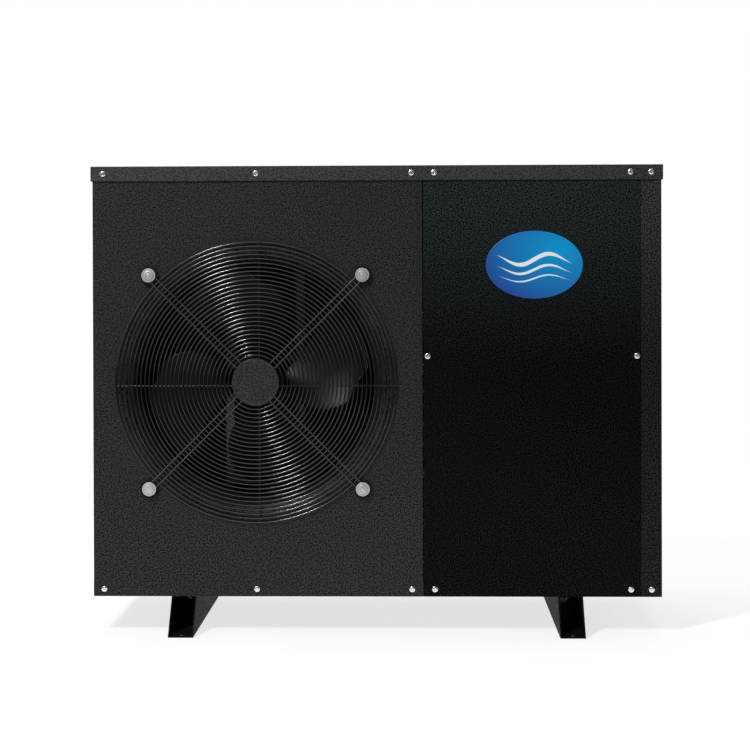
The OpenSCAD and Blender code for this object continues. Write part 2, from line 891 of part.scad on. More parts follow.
module refrigerant_pipes() {
    z = cap_top + port_stub;
    x = coil_end_x + gap + 1.5;
    color(copper) {
        // discharge, from the compressor's top to the valve
        rod([comp.x, comp.y, comp_top - 7], [0, 0, 1], valve_z - 38 - gap - comp_top + 7, 5);
        // suction, from the valve to the accumulator
        pipe([
            [port_x[1], comp.y, port_top + gap], [port_x[1], comp.y, port_top + 40],
            [acc.x, acc.y, port_top + 40], [acc.x, acc.y, acc_top + gap]
        ], 7, 22);
        // gas, from the valve to the coil's header
        pipe([
            [port_x[0], comp.y, port_top + gap], [port_x[0], comp.y, port_top + 70],
            [port_x[0], header_y - 24, port_top + 70], [header_x, header_y - 24, port_top + 70],
            [header_x, header_y - header_r - gap, port_top + 70]
        ], 7, 15);
        // gas, from the valve to the heat exchanger
        pipe([
            [port_x[2], comp.y, port_top + gap], [port_x[2], comp.y, z + 60],
            [gas_port.x, gas_port.y, z + 60], [gas_port.x, gas_port.y, z + gap]
        ], 7, 15);
        // liquid, from the heat exchanger to the drier
        pipe([
            [liquid_port.x, liquid_port.y, z + gap], [liquid_port.x, liquid_port.y, z + 40],
            [liquid_port.x, dry.y, z + 40], [dry.x, dry.y, z + 40],
            [dry.x, dry.y, dry_z + 104 + gap]
        ], 4, 14);
        // feeds, from the distributor to the coil
        for (k = [0 : 2])
            let (fx = dry.x - 6 + 6 * k, fz = coil_z1 + 12 + (3 - k) * 2 * tube_pitch) pipe([
                [fx, dry.y, exv_z - 30 - gap], [fx, dry.y, fz], [fx, row_y, fz], [x + gap, row_y, fz]
            ], 2, 6);
        // service port on the suction pipe
        rod([acc.x, acc.y - 6, port_top - 30], [0, -1, 0], 20, 4);
    }
}

module service_port_cap() {
    color(brass) difference() {
        rod([acc.x, acc.y - 12, port_top - 30], [0, -1, 0], 18, 7.5);
        rod([acc.x, acc.y - 10, port_top - 30], [0, -1, 0], 16.3, 4 + run);
    }
}

// ---- Water circuit

shell_z = floor_z + gap;
nozzle_end = water_y + shell_d / 2 + 22;
pipe_r = pipe_d / 2;

coil_tube_r = 8;
coil_r = shell_d / 2 - 28;

module heat_exchanger_shell() {
    r = shell_d / 2;
    color([0.16, 0.17, 0.18]) {
        difference() {
            union() {
                translate([water_x, water_y, shell_z]) cylinder(r = r, h = shell_h + 36);
                for (z = [inlet_z, outlet_z])
                    rod([water_x, water_y, z], [0, 1, 0], nozzle_end - water_y, pipe_r + 5);
            }
            translate([water_x, water_y, shell_z + 8]) cylinder(r = r - 6, h = shell_h + 20);
            for (z = [inlet_z, outlet_z])
                rod([water_x, water_y, z], [0, 1, 0], shell_d, pipe_r + gap);
        }
        // ribs that hold the coil
        for (u = [[1, 0, 0], [-1, 0, 0], [0, -1, 0]])
            rod([water_x, water_y, shell_z + shell_h / 2] + u * (coil_r + coil_tube_r + gap), u, 16, 10);
        // refrigerant stubs and the feet of the clamps to the side panel
        for (p = [gas_port, liquid_port]) translate([p.x, p.y, cap_top - 0.1])
            cylinder(r = p == gas_port ? 9 : 6, h = port_stub + 0.1);
        for (z = [shell_z + 120, shell_z + 380])
            block([water_x + r - 12, water_y - 20, z], [right - sheet - gap, water_y + 20, z + 30]);
    }
}

// Turns of the titanium tube inside the shell
module heat_exchanger_coil() {
    turns = 9;
    steps = 24;
    sides = 8;
    n = turns * steps;
    rise = (shell_h - 90) / n;
    points = [
        for (i = [0 : n]) for (k = [0 : sides - 1])
            let (a = 360 * i / steps, b = 360 * k / sides, q = coil_r + coil_tube_r * cos(b))
            [q * cos(a), q * sin(a), i * rise + coil_tube_r * sin(b)]
    ];
    faces = [
        for (i = [0 : n - 1]) for (k = [0 : sides - 1])
            let (a = i * sides + k, b = i * sides + (k + 1) % sides)
            each [[a, a + sides, b + sides], [a, b + sides, b]]
    ];
    ends = [
        [for (k = [0 : sides - 1]) k],
        [for (k = [sides - 1 : -1 : 0]) n * sides + k]
    ];
    color([0.6, 0.6, 0.6]) translate([water_x, water_y, shell_z + 40])
        polyhedron(points, concat(faces, ends));
}

// Union on the rear panel: threaded collar, captive nut, tailpiece with the socket
collar_r = pipe_r + 9;
collar_y1 = back + gap;
collar_y2 = back + 14;
seal_t = 1.5;
shoulder_y2 = collar_y2 + seal_t + 4;
tail_r = pipe_r + 5.5;
tail_y2 = back + toe - 0.5;
socket_r = pipe_r + 0.1;

module water_pipe(z) {
    color(pvc_grey) difference() {
        union() {
            rod([water_x, nozzle_end - 18, z], [0, 1, 0], collar_y2 - nozzle_end + 18, pipe_r);
            rod([water_x, collar_y1, z], [0, 1, 0], collar_y2 - collar_y1, collar_r);
        }
        rod([water_x, nozzle_end - 30, z], [0, 1, 0], cab_d, pipe_r - 4);
        if (z == inlet_z) rod([water_x, back - 30, z], [0, 0, 1], pipe_d, 9);
    }
}

module water_inlet_pipe() {
    water_pipe(inlet_z);
}

module water_outlet_pipe() {
    water_pipe(outlet_z);
}

module union_tailpieces() {
    color(pvc_grey) for (z = [inlet_z, outlet_z]) difference() {
        union() {
            rod([water_x, collar_y2 + seal_t, z], [0, 1, 0], 4, collar_r - 0.6);
            rod([water_x, collar_y2 + seal_t, z], [0, 1, 0], tail_y2 - collar_y2 - seal_t, tail_r);
        }
        rod([water_x, shoulder_y2, z], [0, 1, 0], cab_d, socket_r);
        rod([water_x, back, z], [0, 1, 0], cab_d, pipe_r - 4);
    }
    // flat rubber seal between the two halves
    color(rubber_black) for (z = [inlet_z, outlet_z])
        tube([water_x, collar_y2, z], [0, 1, 0], seal_t - 0.05, collar_r - 2, pipe_r - 3);
}

module union_nut(z) {
    y1 = collar_y1 + 2.5;
    y2 = shoulder_y2 + gap + 6;
    color(pvc_grey) difference() {
        union() {
            rod([water_x, y1, z], [0, 1, 0], y2 - y1, collar_r + 6);
            for (a = [0 : 30 : 330]) translate([water_x, 0, z]) rotate([0, a, 0])
                block([-4, y1 + 1, collar_r], [4, y2 - 3, collar_r + 9]);
        }
        rod([water_x, y1 - 1, z], [0, 1, 0], shoulder_y2 + gap - y1 + 1, collar_r + run);
        rod([water_x, y1, z], [0, 1, 0], 40, tail_r + gap);
    }
}

module inlet_union_nut() {
    union_nut(inlet_z);
}

module outlet_union_nut() {
    union_nut(outlet_z);
}

switch_y = back - 30;
switch_z = inlet_z + pipe_r;
pivot_z = switch_z + 8;

module flow_switch() {
    color([0.7, 0.7, 0.68]) difference() {
        union() {
            block([water_x - 14, switch_y - 14, switch_z + 0.1], [water_x + 14, switch_y + 14, switch_z + 20]);
            block([water_x - 20, switch_y - 20, switch_z + 19.9], [water_x + 20, switch_y + 20, switch_z + 60]);
        }
        block([water_x - 5, switch_y - 9, switch_z - 1], [water_x + 5, switch_y + 9, switch_z + 16]);
        rod([water_x - 10, switch_y, pivot_z], [1, 0, 0], 20, 2 + run);
    }
}

module flow_paddle() {
    color(steel) {
        rod([water_x - 9, switch_y, pivot_z], [1, 0, 0], 18, 2);
        rod([water_x, switch_y, pivot_z - 24], [0, 0, 1], 26, 1.6);
        block([water_x - 9, switch_y - 0.6, inlet_z - 12], [water_x + 9, switch_y + 0.6, inlet_z + 10]);
    }
}

// ---- Electric box behind the service panel

ebox_x1 = partition_x + sheet + gap;
ebox_x2 = ebox_x1 + 372;
ebox_y1 = front + 18;
ebox_y2 = front + 130;
ebox_z1 = top - 215;
ebox_z2 = top - 14;
plate_y = ebox_y2 - 1.5;

module electric_box() {
    color(zinc) difference() {
        block([ebox_x1, ebox_y1, ebox_z1], [ebox_x2, ebox_y2, ebox_z2]);
        block([ebox_x1 + 1.5, ebox_y1 - 1, ebox_z1 + 1.5], [ebox_x2 - 1.5, plate_y, ebox_z2 - 1.5]);
    }
}

module control_board() {
    x = ebox_x1 + 170;
    z = ebox_z1 + 30;
    y = plate_y - 8;
    color([0.1, 0.35, 0.2]) block([x, y - 1.6, z], [x + 180, y, z + 140]);
    color(zinc) for (dx = [6, 174]) for (dz = [6, 134])
        rod([x + dx, y, z + dz], [0, 1, 0], 8, 3);
    color(rubber_black) for (i = [0 : 4])
        block([x + 14 + i * 32, y - 20, z + 100], [x + 36 + i * 32, y - 1.5, z + 128]);
    color([0.85, 0.85, 0.8]) for (i = [0 : 5])
        block([x + 12 + i * 27, y - 12, z + 12], [x + 32 + i * 27, y - 1.5, z + 24]);
    color(rubber_black) block([x + 40, y - 32, z + 42], [x + 88, y - 1.5, z + 84]);
}

// Contactor, run capacitor and terminal block on the back plate
module electric_parts() {
    x = ebox_x1 + 16;
    color([0.85, 0.85, 0.8]) block([x, plate_y - 70, ebox_z1 + 110], [x + 50, plate_y, ebox_z1 + 180]);
    color(zinc) translate([x + 100, plate_y - 30, ebox_z1 + 96]) cylinder(r = 25, h = 90);
    color(zinc) block([x + 92, plate_y - 10, ebox_z1 + 130], [x + 108, plate_y, ebox_z1 + 150]);
    color(rubber_black) block([x, plate_y - 30, ebox_z1 + 24], [x + 130, plate_y, ebox_z1 + 56]);
}

base_pan();
foot_rail_left();
foot_rail_right();
rail_bolts();
drain_spout();
lid();
fan_panel();
service_panel();
right_side_panel();
rear_panel();
rear_corner_post();
cable_glands();
partition();
left_coil_guard();
rear_coil_guard();
lid_screws();
panel_screws();
guard_rings();
guard_hairpins();
guard_cross_wires();
guard_disc();
guard_spacers();
guard_washers();
guard_bolts();
badge();
fan_impeller();
hub_nut();
motor_shaft();
motor_rotor();
motor_stator();
motor_bearings();
motor_housing();
motor_end_cap();
motor_bracket();
motor_screws();
motor_cable();
evaporator_fins();
evaporator_bends();
evaporator_headers();
compressor();
compressor_grommets();
compressor_bolts();
accumulator();
reversing_valve();
filter_drier();
expansion_valve();
refrigerant_pipes();
service_port_cap();
heat_exchanger_shell();
heat_exchanger_coil();
water_inlet_pipe();
water_outlet_pipe();
union_tailpieces();
inlet_union_nut();
outlet_union_nut();
flow_switch();
flow_paddle();
electric_box();
control_board();
electric_parts();
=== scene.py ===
import json
import math

import bmesh
import bpy
import numpy as np
from mathutils import Matrix, Vector


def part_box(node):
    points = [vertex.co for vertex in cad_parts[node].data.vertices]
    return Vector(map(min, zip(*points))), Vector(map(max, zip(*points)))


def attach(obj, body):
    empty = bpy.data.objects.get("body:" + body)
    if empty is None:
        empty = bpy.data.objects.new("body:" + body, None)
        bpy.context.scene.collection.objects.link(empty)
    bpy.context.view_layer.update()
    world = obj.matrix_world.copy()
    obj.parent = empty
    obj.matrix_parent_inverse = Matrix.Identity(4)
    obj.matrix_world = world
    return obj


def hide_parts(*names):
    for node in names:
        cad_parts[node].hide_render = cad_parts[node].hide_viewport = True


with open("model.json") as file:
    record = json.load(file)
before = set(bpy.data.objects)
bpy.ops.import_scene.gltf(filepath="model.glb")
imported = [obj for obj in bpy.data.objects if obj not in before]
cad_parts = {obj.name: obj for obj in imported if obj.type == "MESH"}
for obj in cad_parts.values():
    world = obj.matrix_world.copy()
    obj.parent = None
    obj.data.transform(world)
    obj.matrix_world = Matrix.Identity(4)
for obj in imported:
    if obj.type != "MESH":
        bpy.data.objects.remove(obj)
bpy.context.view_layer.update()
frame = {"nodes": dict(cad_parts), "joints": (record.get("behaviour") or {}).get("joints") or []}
nodes = frame["nodes"]
joints = {j["name"]: j for j in frame["joints"]}
scene = bpy.context.scene

# ---- Camera
# It stands three metres in front of the cabinet, a little above its middle, and looks slightly down.
# A small shift keeps the cabinet's upright edges nearly parallel.
front_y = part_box("fan_panel")[0].y
lens_data = bpy.data.cameras.new("camera")
lens_data.lens = 81.97
lens_data.shift_y = -0.11
lens_data.clip_start = 0.05
lens_data.clip_end = 60.0
camera = bpy.data.objects.new("camera", lens_data)
scene.collection.objects.link(camera)
camera_aside, camera_distance, camera_height = 0.070, 3.0, 0.620
camera.location = (camera_aside, front_y - camera_distance, camera_height)
turn_left = Matrix.Rotation(math.radians(1.37), 3, "Z")
look_down = Matrix.Rotation(math.radians(90 - 0.42), 3, "X")
tilt = Matrix.Rotation(math.radians(-0.16), 3, "Z")
camera.rotation_euler = (turn_left @ look_down @ tilt).to_euler()
scene.camera = camera

# ---- Studio
# A pale seamless floor, an even dim surround, and soft boxes: the main one is high and a little to
# the left, so that every ring of the guard carries its highlight on one line.
scene.view_settings.view_transform = "Standard"
scene.view_settings.look = "None"


def nodes_of(material):
    """The node tree of a new material, with its links and its shader."""
    material.use_nodes = True
    tree = material.node_tree
    return tree, tree.links, tree.nodes["Principled BSDF"]


def add(tree, kind, **values):
    """A node with its settings and its unlinked sockets filled in."""
    node = tree.nodes.new(kind)
    for key, value in values.items():
        if hasattr(node, key):
            setattr(node, key, value)
        else:
            node.inputs[key.replace("_", " ")].default_value = value
    return node


def spread(tree, source, low, high):
    """Turns a 0 to 1 value into the range low to high."""
    ranged = add(tree, "ShaderNodeMapRange")
    ranged.inputs["To Min"].default_value = low
    ranged.inputs["To Max"].default_value = high
    tree.links.new(source, ranged.inputs["Value"])
    return ranged.outputs["Result"]


floor_paint = bpy.data.materials.new("floor_paint")
tree, links, shader = nodes_of(floor_paint)
where = add(tree, "ShaderNodeTexCoord")
grain = add(tree, "ShaderNodeTexNoise", Scale=3.0, Detail=4.0)
links.new(where.outputs["Object"], grain.inputs["Vector"])
tone = add(tree, "ShaderNodeValToRGB")
tone.color_ramp.elements[0].color = (0.27, 0.27, 0.27, 1)
tone.color_ramp.elements[1].color = (0.31, 0.31, 0.31, 1)
links.new(grain.outputs["Fac"], tone.inputs["Fac"])
links.new(tone.outputs["Color"], shader.inputs["Base Color"])
shader.inputs["Roughness"].default_value = 0.95
shader.inputs["Specular IOR Level"].default_value = 0.05
shader.inputs["Emission Color"].default_value = (1, 1, 1, 1)
shader.inputs["Emission Strength"].default_value = 0.74
# the floor melts into the white surround further out
away = add(tree, "ShaderNodeVectorMath", operation="LENGTH")
links.new(where.outputs["Object"], away.inputs[0])
fade = add(tree, "ShaderNodeMapRange", interpolation_type="SMOOTHSTEP")
fade.inputs["From Min"].default_value = 1.1
fade.inputs["From Max"].default_value = 2.6
links.new(away.outputs["Value"], fade.inputs["Value"])
clear = add(tree, "ShaderNodeBsdfTransparent")
melt = add(tree, "ShaderNodeMixShader")
links.new(fade.outputs["Result"], melt.inputs["Fac"])
links.new(shader.outputs[0], melt.inputs[1])
links.new(clear.outputs[0], melt.inputs[2])
links.new(melt.outputs[0], tree.nodes["Material Output"].inputs["Surface"])

floor_mesh = bpy.data.meshes.new("floor")
reach = 3.0
floor_z = -0.0005
floor_corners = [(x * reach, y * reach, floor_z) for x, y in ((-1, -1), (1, -1), (1, 1), (-1, 1))]
floor_mesh.from_pydata(floor_corners, [], [(0, 1, 2, 3)])
floor = bpy.data.objects.new("floor", floor_mesh)
scene.collection.objects.link(floor)
floor_mesh.materials.append(floor_paint)

surround = bpy.data.worlds.new("surround")
scene.world = surround
surround.use_nodes = True
tree = surround.node_tree
tree.nodes.clear()
room = add(tree, "ShaderNodeBackground", Color=(0.96, 0.98, 1.0, 1), Strength=0.15)
backdrop = add(tree, "ShaderNodeBackground", Color=(1, 1, 1, 1), Strength=1.0)
seen = add(tree, "ShaderNodeLightPath")
choose = add(tree, "ShaderNodeMixShader")
out = add(tree, "ShaderNodeOutputWorld")
tree.links.new(seen.outputs["Is Camera Ray"], choose.inputs["Fac"])
tree.links.new(room.outputs[0], choose.inputs[1])
tree.links.new(backdrop.outputs[0], choose.inputs[2])
tree.links.new(choose.outputs[0], out.inputs["Surface"])


def soft_box(name, place, target, width, height, watts):
    """A rectangular soft box that faces its target."""
    data = bpy.data.lights.new(name, "AREA")
    data.shape = "RECTANGLE"
    data.size = width
    data.size_y = height
    data.energy = watts
    lamp = bpy.data.objects.new(name, data)
    scene.collection.objects.link(lamp)
    lamp.location = place
    lamp.rotation_euler = (Vector(target) - Vector(place)).to_track_quat("-Z", "Y").to_euler()


soft_box("main_box", (-1.35, -2.0, 2.8), (-0.2, -0.2, 0.45), 0.22, 0.9, 92)
soft_box("left_box", (-3.0, 0.2, 1.5), (0, 0, 0.4), 1.4, 1.8, 16)
soft_box("right_box", (3.2, 0.8, 1.9), (0, 0, 0.4), 1.6, 1.6, 22)
soft_box("back_box", (-0.4, 3.4, 2.2), (0, 0, 0.4), 2.4, 1.4, 60)
soft_box("top_box", (0.1, 0.6, 3.3), (0, 0, 0.5), 2.4, 1.6, 40)

# ---- Foot rails
# Two channels folded from thick steel sheet and sprayed with textured black powder. Their slanted
# toes stand out past the cabinet, with a round anchor hole in each.


def powder(name, colour, fleck, rough, speckle=420.0, shine=0.4, painted_top_light=1.0):
    """Baked powder coat: fine grains that differ in tone and shine, slow patches, and an orange peel.
    The last argument lightens the colour over the upper part of the cabinet: a painted highlight where the
    overhead light falls."""
    material = bpy.data.materials.new(name)
    tree, links, shader = nodes_of(material)
    where = add(tree, "ShaderNodeTexCoord")
    flecks = add(tree, "ShaderNodeTexNoise", Scale=speckle, Detail=1.5, Roughness=0.6)
    patches = add(tree, "ShaderNodeTexNoise", Scale=3.2, Detail=2.0)
    peel = add(tree, "ShaderNodeTexNoise", Scale=speckle * 1.7, Detail=2.0)
    for texture in (flecks, patches, peel):
        links.new(where.outputs["Object"], texture.inputs["Vector"])
    sharp = add(tree, "ShaderNodeMapRange")
    sharp.inputs["From Min"].default_value = 0.38
    sharp.inputs["From Max"].default_value = 0.62
    links.new(flecks.outputs["Fac"], sharp.inputs["Value"])
    grains = sharp.outputs["Result"]
    tones = add(tree, "ShaderNodeValToRGB")
    tones.color_ramp.elements[0].color = (*[c * (1 - fleck) for c in colour], 1)
    tones.color_ramp.elements[1].color = (*[c * (1 + fleck) for c in colour], 1)
    links.new(grains, tones.inputs["Fac"])
    cloud = add(tree, "ShaderNodeMix", data_type="RGBA", blend_type="MULTIPLY")
    cloud.inputs["Factor"].default_value = 1.0
    links.new(tones.outputs["Color"], cloud.inputs[6])
    shade = add(tree, "ShaderNodeValToRGB")
    shade.color_ramp.elements[0].color = (0.88, 0.88, 0.88, 1)
    shade.color_ramp.elements[1].color = (1.12, 1.12, 1.12, 1)
    links.new(patches.outputs["Fac"], shade.inputs["Fac"])
    links.new(shade.outputs["Color"], cloud.inputs[7])
    # painted highlight: the colour grows lighter over the upper part of the cabinet
    height = add(tree, "ShaderNodeSeparateXYZ")
    links.new(where.outputs["Object"], height.inputs["Vector"])
    top_light_ramp = add(tree, "ShaderNodeMapRange", interpolation_type="SMOOTHSTEP")
    top_light_ramp.inputs["From Min"].default_value = 0.45
    top_light_ramp.inputs["From Max"].default_value = 0.85
    top_light_ramp.inputs["To Min"].default_value = 1.0
    top_light_ramp.inputs["To Max"].default_value = painted_top_light
    links.new(height.outputs["Z"], top_light_ramp.inputs["Value"])
    raised = add(tree, "ShaderNodeVectorMath", operation="SCALE")
    links.new(cloud.outputs[2], raised.inputs[0])
    links.new(top_light_ramp.outputs["Result"], raised.inputs["Scale"])
    links.new(raised.outputs["Vector"], shader.inputs["Base Color"])
    links.new(spread(tree, grains, rough + 0.08, rough - 0.08), shader.inputs["Roughness"])
    gloss = spread(tree, grains, shine * (1 - fleck), shine * (1 + fleck))
    links.new(gloss, shader.inputs["Specular IOR Level"])
    bump = add(tree, "ShaderNodeBump", Strength=0.55, Distance=0.00012)
    links.new(peel.outputs["Fac"], bump.inputs["Height"])
    links.new(bump.outputs["Normal"], shader.inputs["Normal"])
    return material


def settle(obj, material, stands_for=(), body="cabinet"):
    """Gives a finished piece its material and its body, and hides the nodes it stands for."""
    obj.data.materials.clear()
    obj.data.materials.append(material)
    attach(obj, body)
    if stands_for:
        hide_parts(*stands_for)


def eased(node, radius, material, body="cabinet", angle=40, fold=0.0):
    """A part's own shape with its sharp edges eased, as folding, deburring or moulding leaves them.
    The upright folds of the cabinet's front and rear get the larger radius fold."""
    mesh = nodes[node].data.copy()
    mesh.name = node + "_eased"
    work = bmesh.new()
    work.from_mesh(mesh)
    bmesh.ops.remove_doubles(work, verts=work.verts, dist=1e-6)
    bmesh.ops.dissolve_limit(
        work, angle_limit=math.radians(0.3), verts=work.verts, edges=work.edges
    )
    for face in work.faces:
        face.smooth = True
    weights = work.edges.layers.float.new("bevel_weight_edge")
    for edge in work.edges:
        one, two = (v.co for v in edge.verts)
        on_face = all(abs(abs(p.y) - abs(front_y)) < 1e-5 for p in (one, two))
        if on_face and abs(one.z - two.z) > 0.3:
            edge[weights] = 1.0
    work.to_mesh(mesh)
    work.free()
    obj = bpy.data.objects.new(node + "_eased", mesh)
    scene.collection.objects.link(obj)
    if fold:
        bend = obj.modifiers.new("folds", "BEVEL")
        bend.width = fold
        bend.segments = 3
        bend.limit_method = "WEIGHT"
    edge = obj.modifiers.new("edges", "BEVEL")
    edge.width = radius
    edge.segments = 2
    edge.limit_method = "ANGLE"
    edge.angle_limit = math.radians(angle)
    edge.use_clamp_overlap = True
    even = obj.modifiers.new("even", "WEIGHTED_NORMAL")
    even.weight = 80
    settle(obj, material, [node], body)


foot_paint = powder("foot_paint", (0.005, 0.0056, 0.0056), 0.7, rough=0.55, shine=0.03)
for side in ("left", "right"):
    eased("foot_rail_" + side, 0.0006, foot_paint)


# ---- Base pan, its bolts and the condensate spout
# A folded tray that carries everything. Zinc-plated bolts clamp it to the rails, and a rubber
# spout drains the water that drips off the coil.
pan_paint = powder("pan_paint", (0.010, 0.011, 0.011), 0.5, rough=0.48, shine=0.25)
eased("base_pan", 0.0005, pan_paint)


def metal(name, colour, rough, streak=(1, 1, 1), span=0.12, size=160.0, depth=0.00003, tarnish=0.12):
    """Bare or plated metal: a rolled or turned grain, and a little tarnish in slow patches."""
    material = bpy.data.materials.new(name)
    tree, links, shader = nodes_of(material)
    where = add(tree, "ShaderNodeTexCoord")
    stretch = add(tree, "ShaderNodeMapping")
    stretch.inputs["Scale"].default_value = streak
    links.new(where.outputs["Object"], stretch.inputs["Vector"])
    grain = add(tree, "ShaderNodeTexNoise", Scale=size, Detail=4.0, Roughness=0.65)
    links.new(stretch.outputs["Vector"], grain.inputs["Vector"])
    bloom = add(tree, "ShaderNodeTexNoise", Scale=22.0, Detail=3.0)
    links.new(where.outputs["Object"], bloom.inputs["Vector"])
    tones = add(tree, "ShaderNodeValToRGB")
    tones.color_ramp.elements[0].position = 0.3
    tones.color_ramp.elements[0].color = (*[c * (1 - tarnish) for c in colour], 1)
    tones.color_ramp.elements[1].position = 0.7
    tones.color_ramp.elements[1].color = (*[min(1, c * (1 + tarnish / 2)) for c in colour], 1)
    links.new(bloom.outputs["Fac"], tones.inputs["Fac"])
    links.new(tones.outputs["Color"], shader.inputs["Base Color"])
    gloss = spread(tree, grain.outputs["Fac"], rough - span / 2, rough + span)
    links.new(gloss, shader.inputs["Roughness"])
    bump = add(tree, "ShaderNodeBump", Strength=0.4, Distance=depth)
    links.new(grain.outputs["Fac"], bump.inputs["Height"])
    links.new(bump.outputs["Normal"], shader.inputs["Normal"])
    shader.inputs["Metallic"].default_value = 1.0
    return material


def moulded(name, colour, rough, fleck=0.1, size=300.0, shine=0.45):
    """Moulded plastic or rubber: a fine spark-eroded surface with slow changes of tone."""
    material = bpy.data.materials.new(name)
    tree, links, shader = nodes_of(material)
    where = add(tree, "ShaderNodeTexCoord")
    fine = add(tree, "ShaderNodeTexNoise", Scale=size, Detail=3.0)
    slow = add(tree, "ShaderNodeTexNoise", Scale=14.0, Detail=3.0)
    for texture in (fine, slow):
        links.new(where.outputs["Object"], texture.inputs["Vector"])
    tones = add(tree, "ShaderNodeValToRGB")
    tones.color_ramp.elements[0].position = 0.3
    tones.color_ramp.elements[0].color = (*[c * (1 - fleck) for c in colour], 1)
    tones.color_ramp.elements[1].position = 0.7
    tones.color_ramp.elements[1].color = (*[min(1, c * (1 + fleck)) for c in colour], 1)
    links.new(slow.outputs["Fac"], tones.inputs["Fac"])
    links.new(tones.outputs["Color"], shader.inputs["Base Color"])
    links.new(spread(tree, fine.outputs["Fac"], rough - 0.07, rough + 0.07), shader.inputs["Roughness"])
    bump = add(tree, "ShaderNodeBump", Strength=0.4, Distance=0.00005)
    links.new(fine.outputs["Fac"], bump.inputs["Height"])
    links.new(bump.outputs["Normal"], shader.inputs["Normal"])
    shader.inputs["Specular IOR Level"].default_value = shine
    return material


def dress(material, *names):
    """Gives carried-over parts their finish."""
    for name in names:
        slots = nodes[name].material_slots
        for place in slots:
            place.material = material
        if not slots:
            nodes[name].data.materials.append(material)


zinc_plate = metal("zinc_plate", (0.62, 0.63, 0.62), 0.38, streak=(0.3, 1, 1), tarnish=0.2)
dress(zinc_plate, "rail_bolts", "compressor_bolts")
soft_rubber = moulded("soft_rubber", (0.004, 0.004, 0.0045), rough=0.7, fleck=0.25, size=500, shine=0.2)
dress(soft_rubber, "drain_spout", "compressor_grommets", "cable_glands")

# ---- Coil
# Thin fins pressed on to copper tubes, coated dark against pool air. The L-shaped pack fills the
# left and rear sides. The tubes' return bends come out of a plated end sheet.
fin_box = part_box("evaporator_fins")
fin_depth = 0.028
fin_pitch = 0.0025
fin_sheet = 0.00025
pack_bend = 0.060


def mesh_of(name, points, faces, smooth=False):
    """A new piece from its points and faces."""
    mesh = bpy.data.meshes.new(name)
    mesh.from_pydata(points, [], faces)
    if smooth:
        mesh.polygons.foreach_set("use_smooth", [True] * len(mesh.polygons))
    mesh.update()
    obj = bpy.data.objects.new(name, mesh)
    scene.collection.objects.link(obj)
    return obj


BOX_FACES = ((0, 3, 2, 1), (4, 5, 6, 7), (0, 1, 5, 4), (1, 2, 6, 5), (2, 3, 7, 6), (3, 0, 4, 7))


def plates(name, corners_list, low, high):
    """Upright plates, each given by the four corners of its plan."""
    points = []
    faces = []
    for corners in corners_list:
        base = len(points)
        points += [(x, y, low) for x, y in corners] + [(x, y, high) for x, y in corners]
        faces += [tuple(base + i for i in face) for face in BOX_FACES]
    return mesh_of(name, points, faces)


def plate_plan(middle, along, across, half_sheet, half_depth):
    """The four plan corners of one plate at a point, counter-clockwise."""
    m, a, c = Vector(middle), Vector(along) * half_sheet, Vector(across) * half_depth
    return [tuple(m - a - c), tuple(m + a - c), tuple(m + a + c), tuple(m - a + c)]


x_low, y_high = fin_box[0].x, fin_box[1].y
plan = []
count = int((fin_box[1].x - x_low - pack_bend) / fin_pitch)
for i in range(count):
    middle = (x_low + pack_bend + fin_pitch * (i + 0.5), y_high - fin_depth / 2)
    plan.append(plate_plan(middle, (1, 0), (0, 1), fin_sheet, fin_depth / 2))
count = int((y_high - pack_bend - fin_box[0].y) / fin_pitch)
for i in range(count):
    middle = (x_low + fin_depth / 2, fin_box[0].y + fin_pitch * (i + 0.5))
    plan.append(plate_plan(middle, (0, 1), (-1, 0), fin_sheet, fin_depth / 2))
bend_middle = pack_bend - fin_depth / 2
count = int(math.pi / 2 * bend_middle / fin_pitch)
for i in range(count):
    a = math.pi / 2 * (1 + (i + 0.5) / count)
    out_way = (math.cos(a), math.sin(a))
    middle = (
        x_low + pack_bend + bend_middle * out_way[0],
        y_high - pack_bend + bend_middle * out_way[1],
    )
    plan.append(plate_plan(middle, (-out_way[1], out_way[0]), out_way, fin_sheet, fin_depth / 2))
fin_pack = plates("fin_pack", plan, fin_box[0].z, fin_box[1].z)
fin_coat = metal("fin_coat", (0.12, 0.13, 0.15), 0.5, streak=(1, 1, 0.15), tarnish=0.3)
settle(fin_pack, fin_coat, stands_for=["evaporator_fins"])

# The tubes fill the pack's middle, so a core closes the gaps between the fins; its near-black colour is
# painted shade, the dark deep inside the pack.
core_inset = 0.006
core_plan = []
arc_steps = 10
outer, inner = pack_bend - core_inset, pack_bend - fin_depth + core_inset
centre = (x_low + pack_bend, y_high - pack_bend)
for i in range(arc_steps):
    a0 = math.pi / 2 * (1 + i / arc_steps)
    a1 = math.pi / 2 * (1 + (i + 1) / arc_steps)
    core_plan.append([
        (centre[0] + inner * math.cos(a1), centre[1] + inner * math.sin(a1)),
        (centre[0] + inner * math.cos(a0), centre[1] + inner * math.sin(a0)),
        (centre[0] + outer * math.cos(a0), centre[1] + outer * math.sin(a0)),
        (centre[0] + outer * math.cos(a1), centre[1] + outer * math.sin(a1)),
    ])
core_plan.append([
    (centre[0], y_high - fin_depth + core_inset), (fin_box[1].x, y_high - fin_depth + core_inset),
    (fin_box[1].x, y_high - core_inset), (centre[0], y_high - core_inset),
])
core_plan.append([
    (x_low + core_inset, fin_box[0].y), (x_low + fin_depth - core_inset, fin_box[0].y),
    (x_low + fin_depth - core_inset, centre[1]), (x_low + core_inset, centre[1]),
])
core = plates("fin_core", core_plan, fin_box[0].z, fin_box[1].z)
settle(core, moulded("core_shade", (0.01, 0.011, 0.013), rough=0.7, fleck=0.3))

copper_tube = metal("copper_tube", (0.62, 0.29, 0.16), 0.32, tarnish=0.35)
dress(copper_tube, "evaporator_bends", "evaporator_headers", "refrigerant_pipes", "filter_drier")

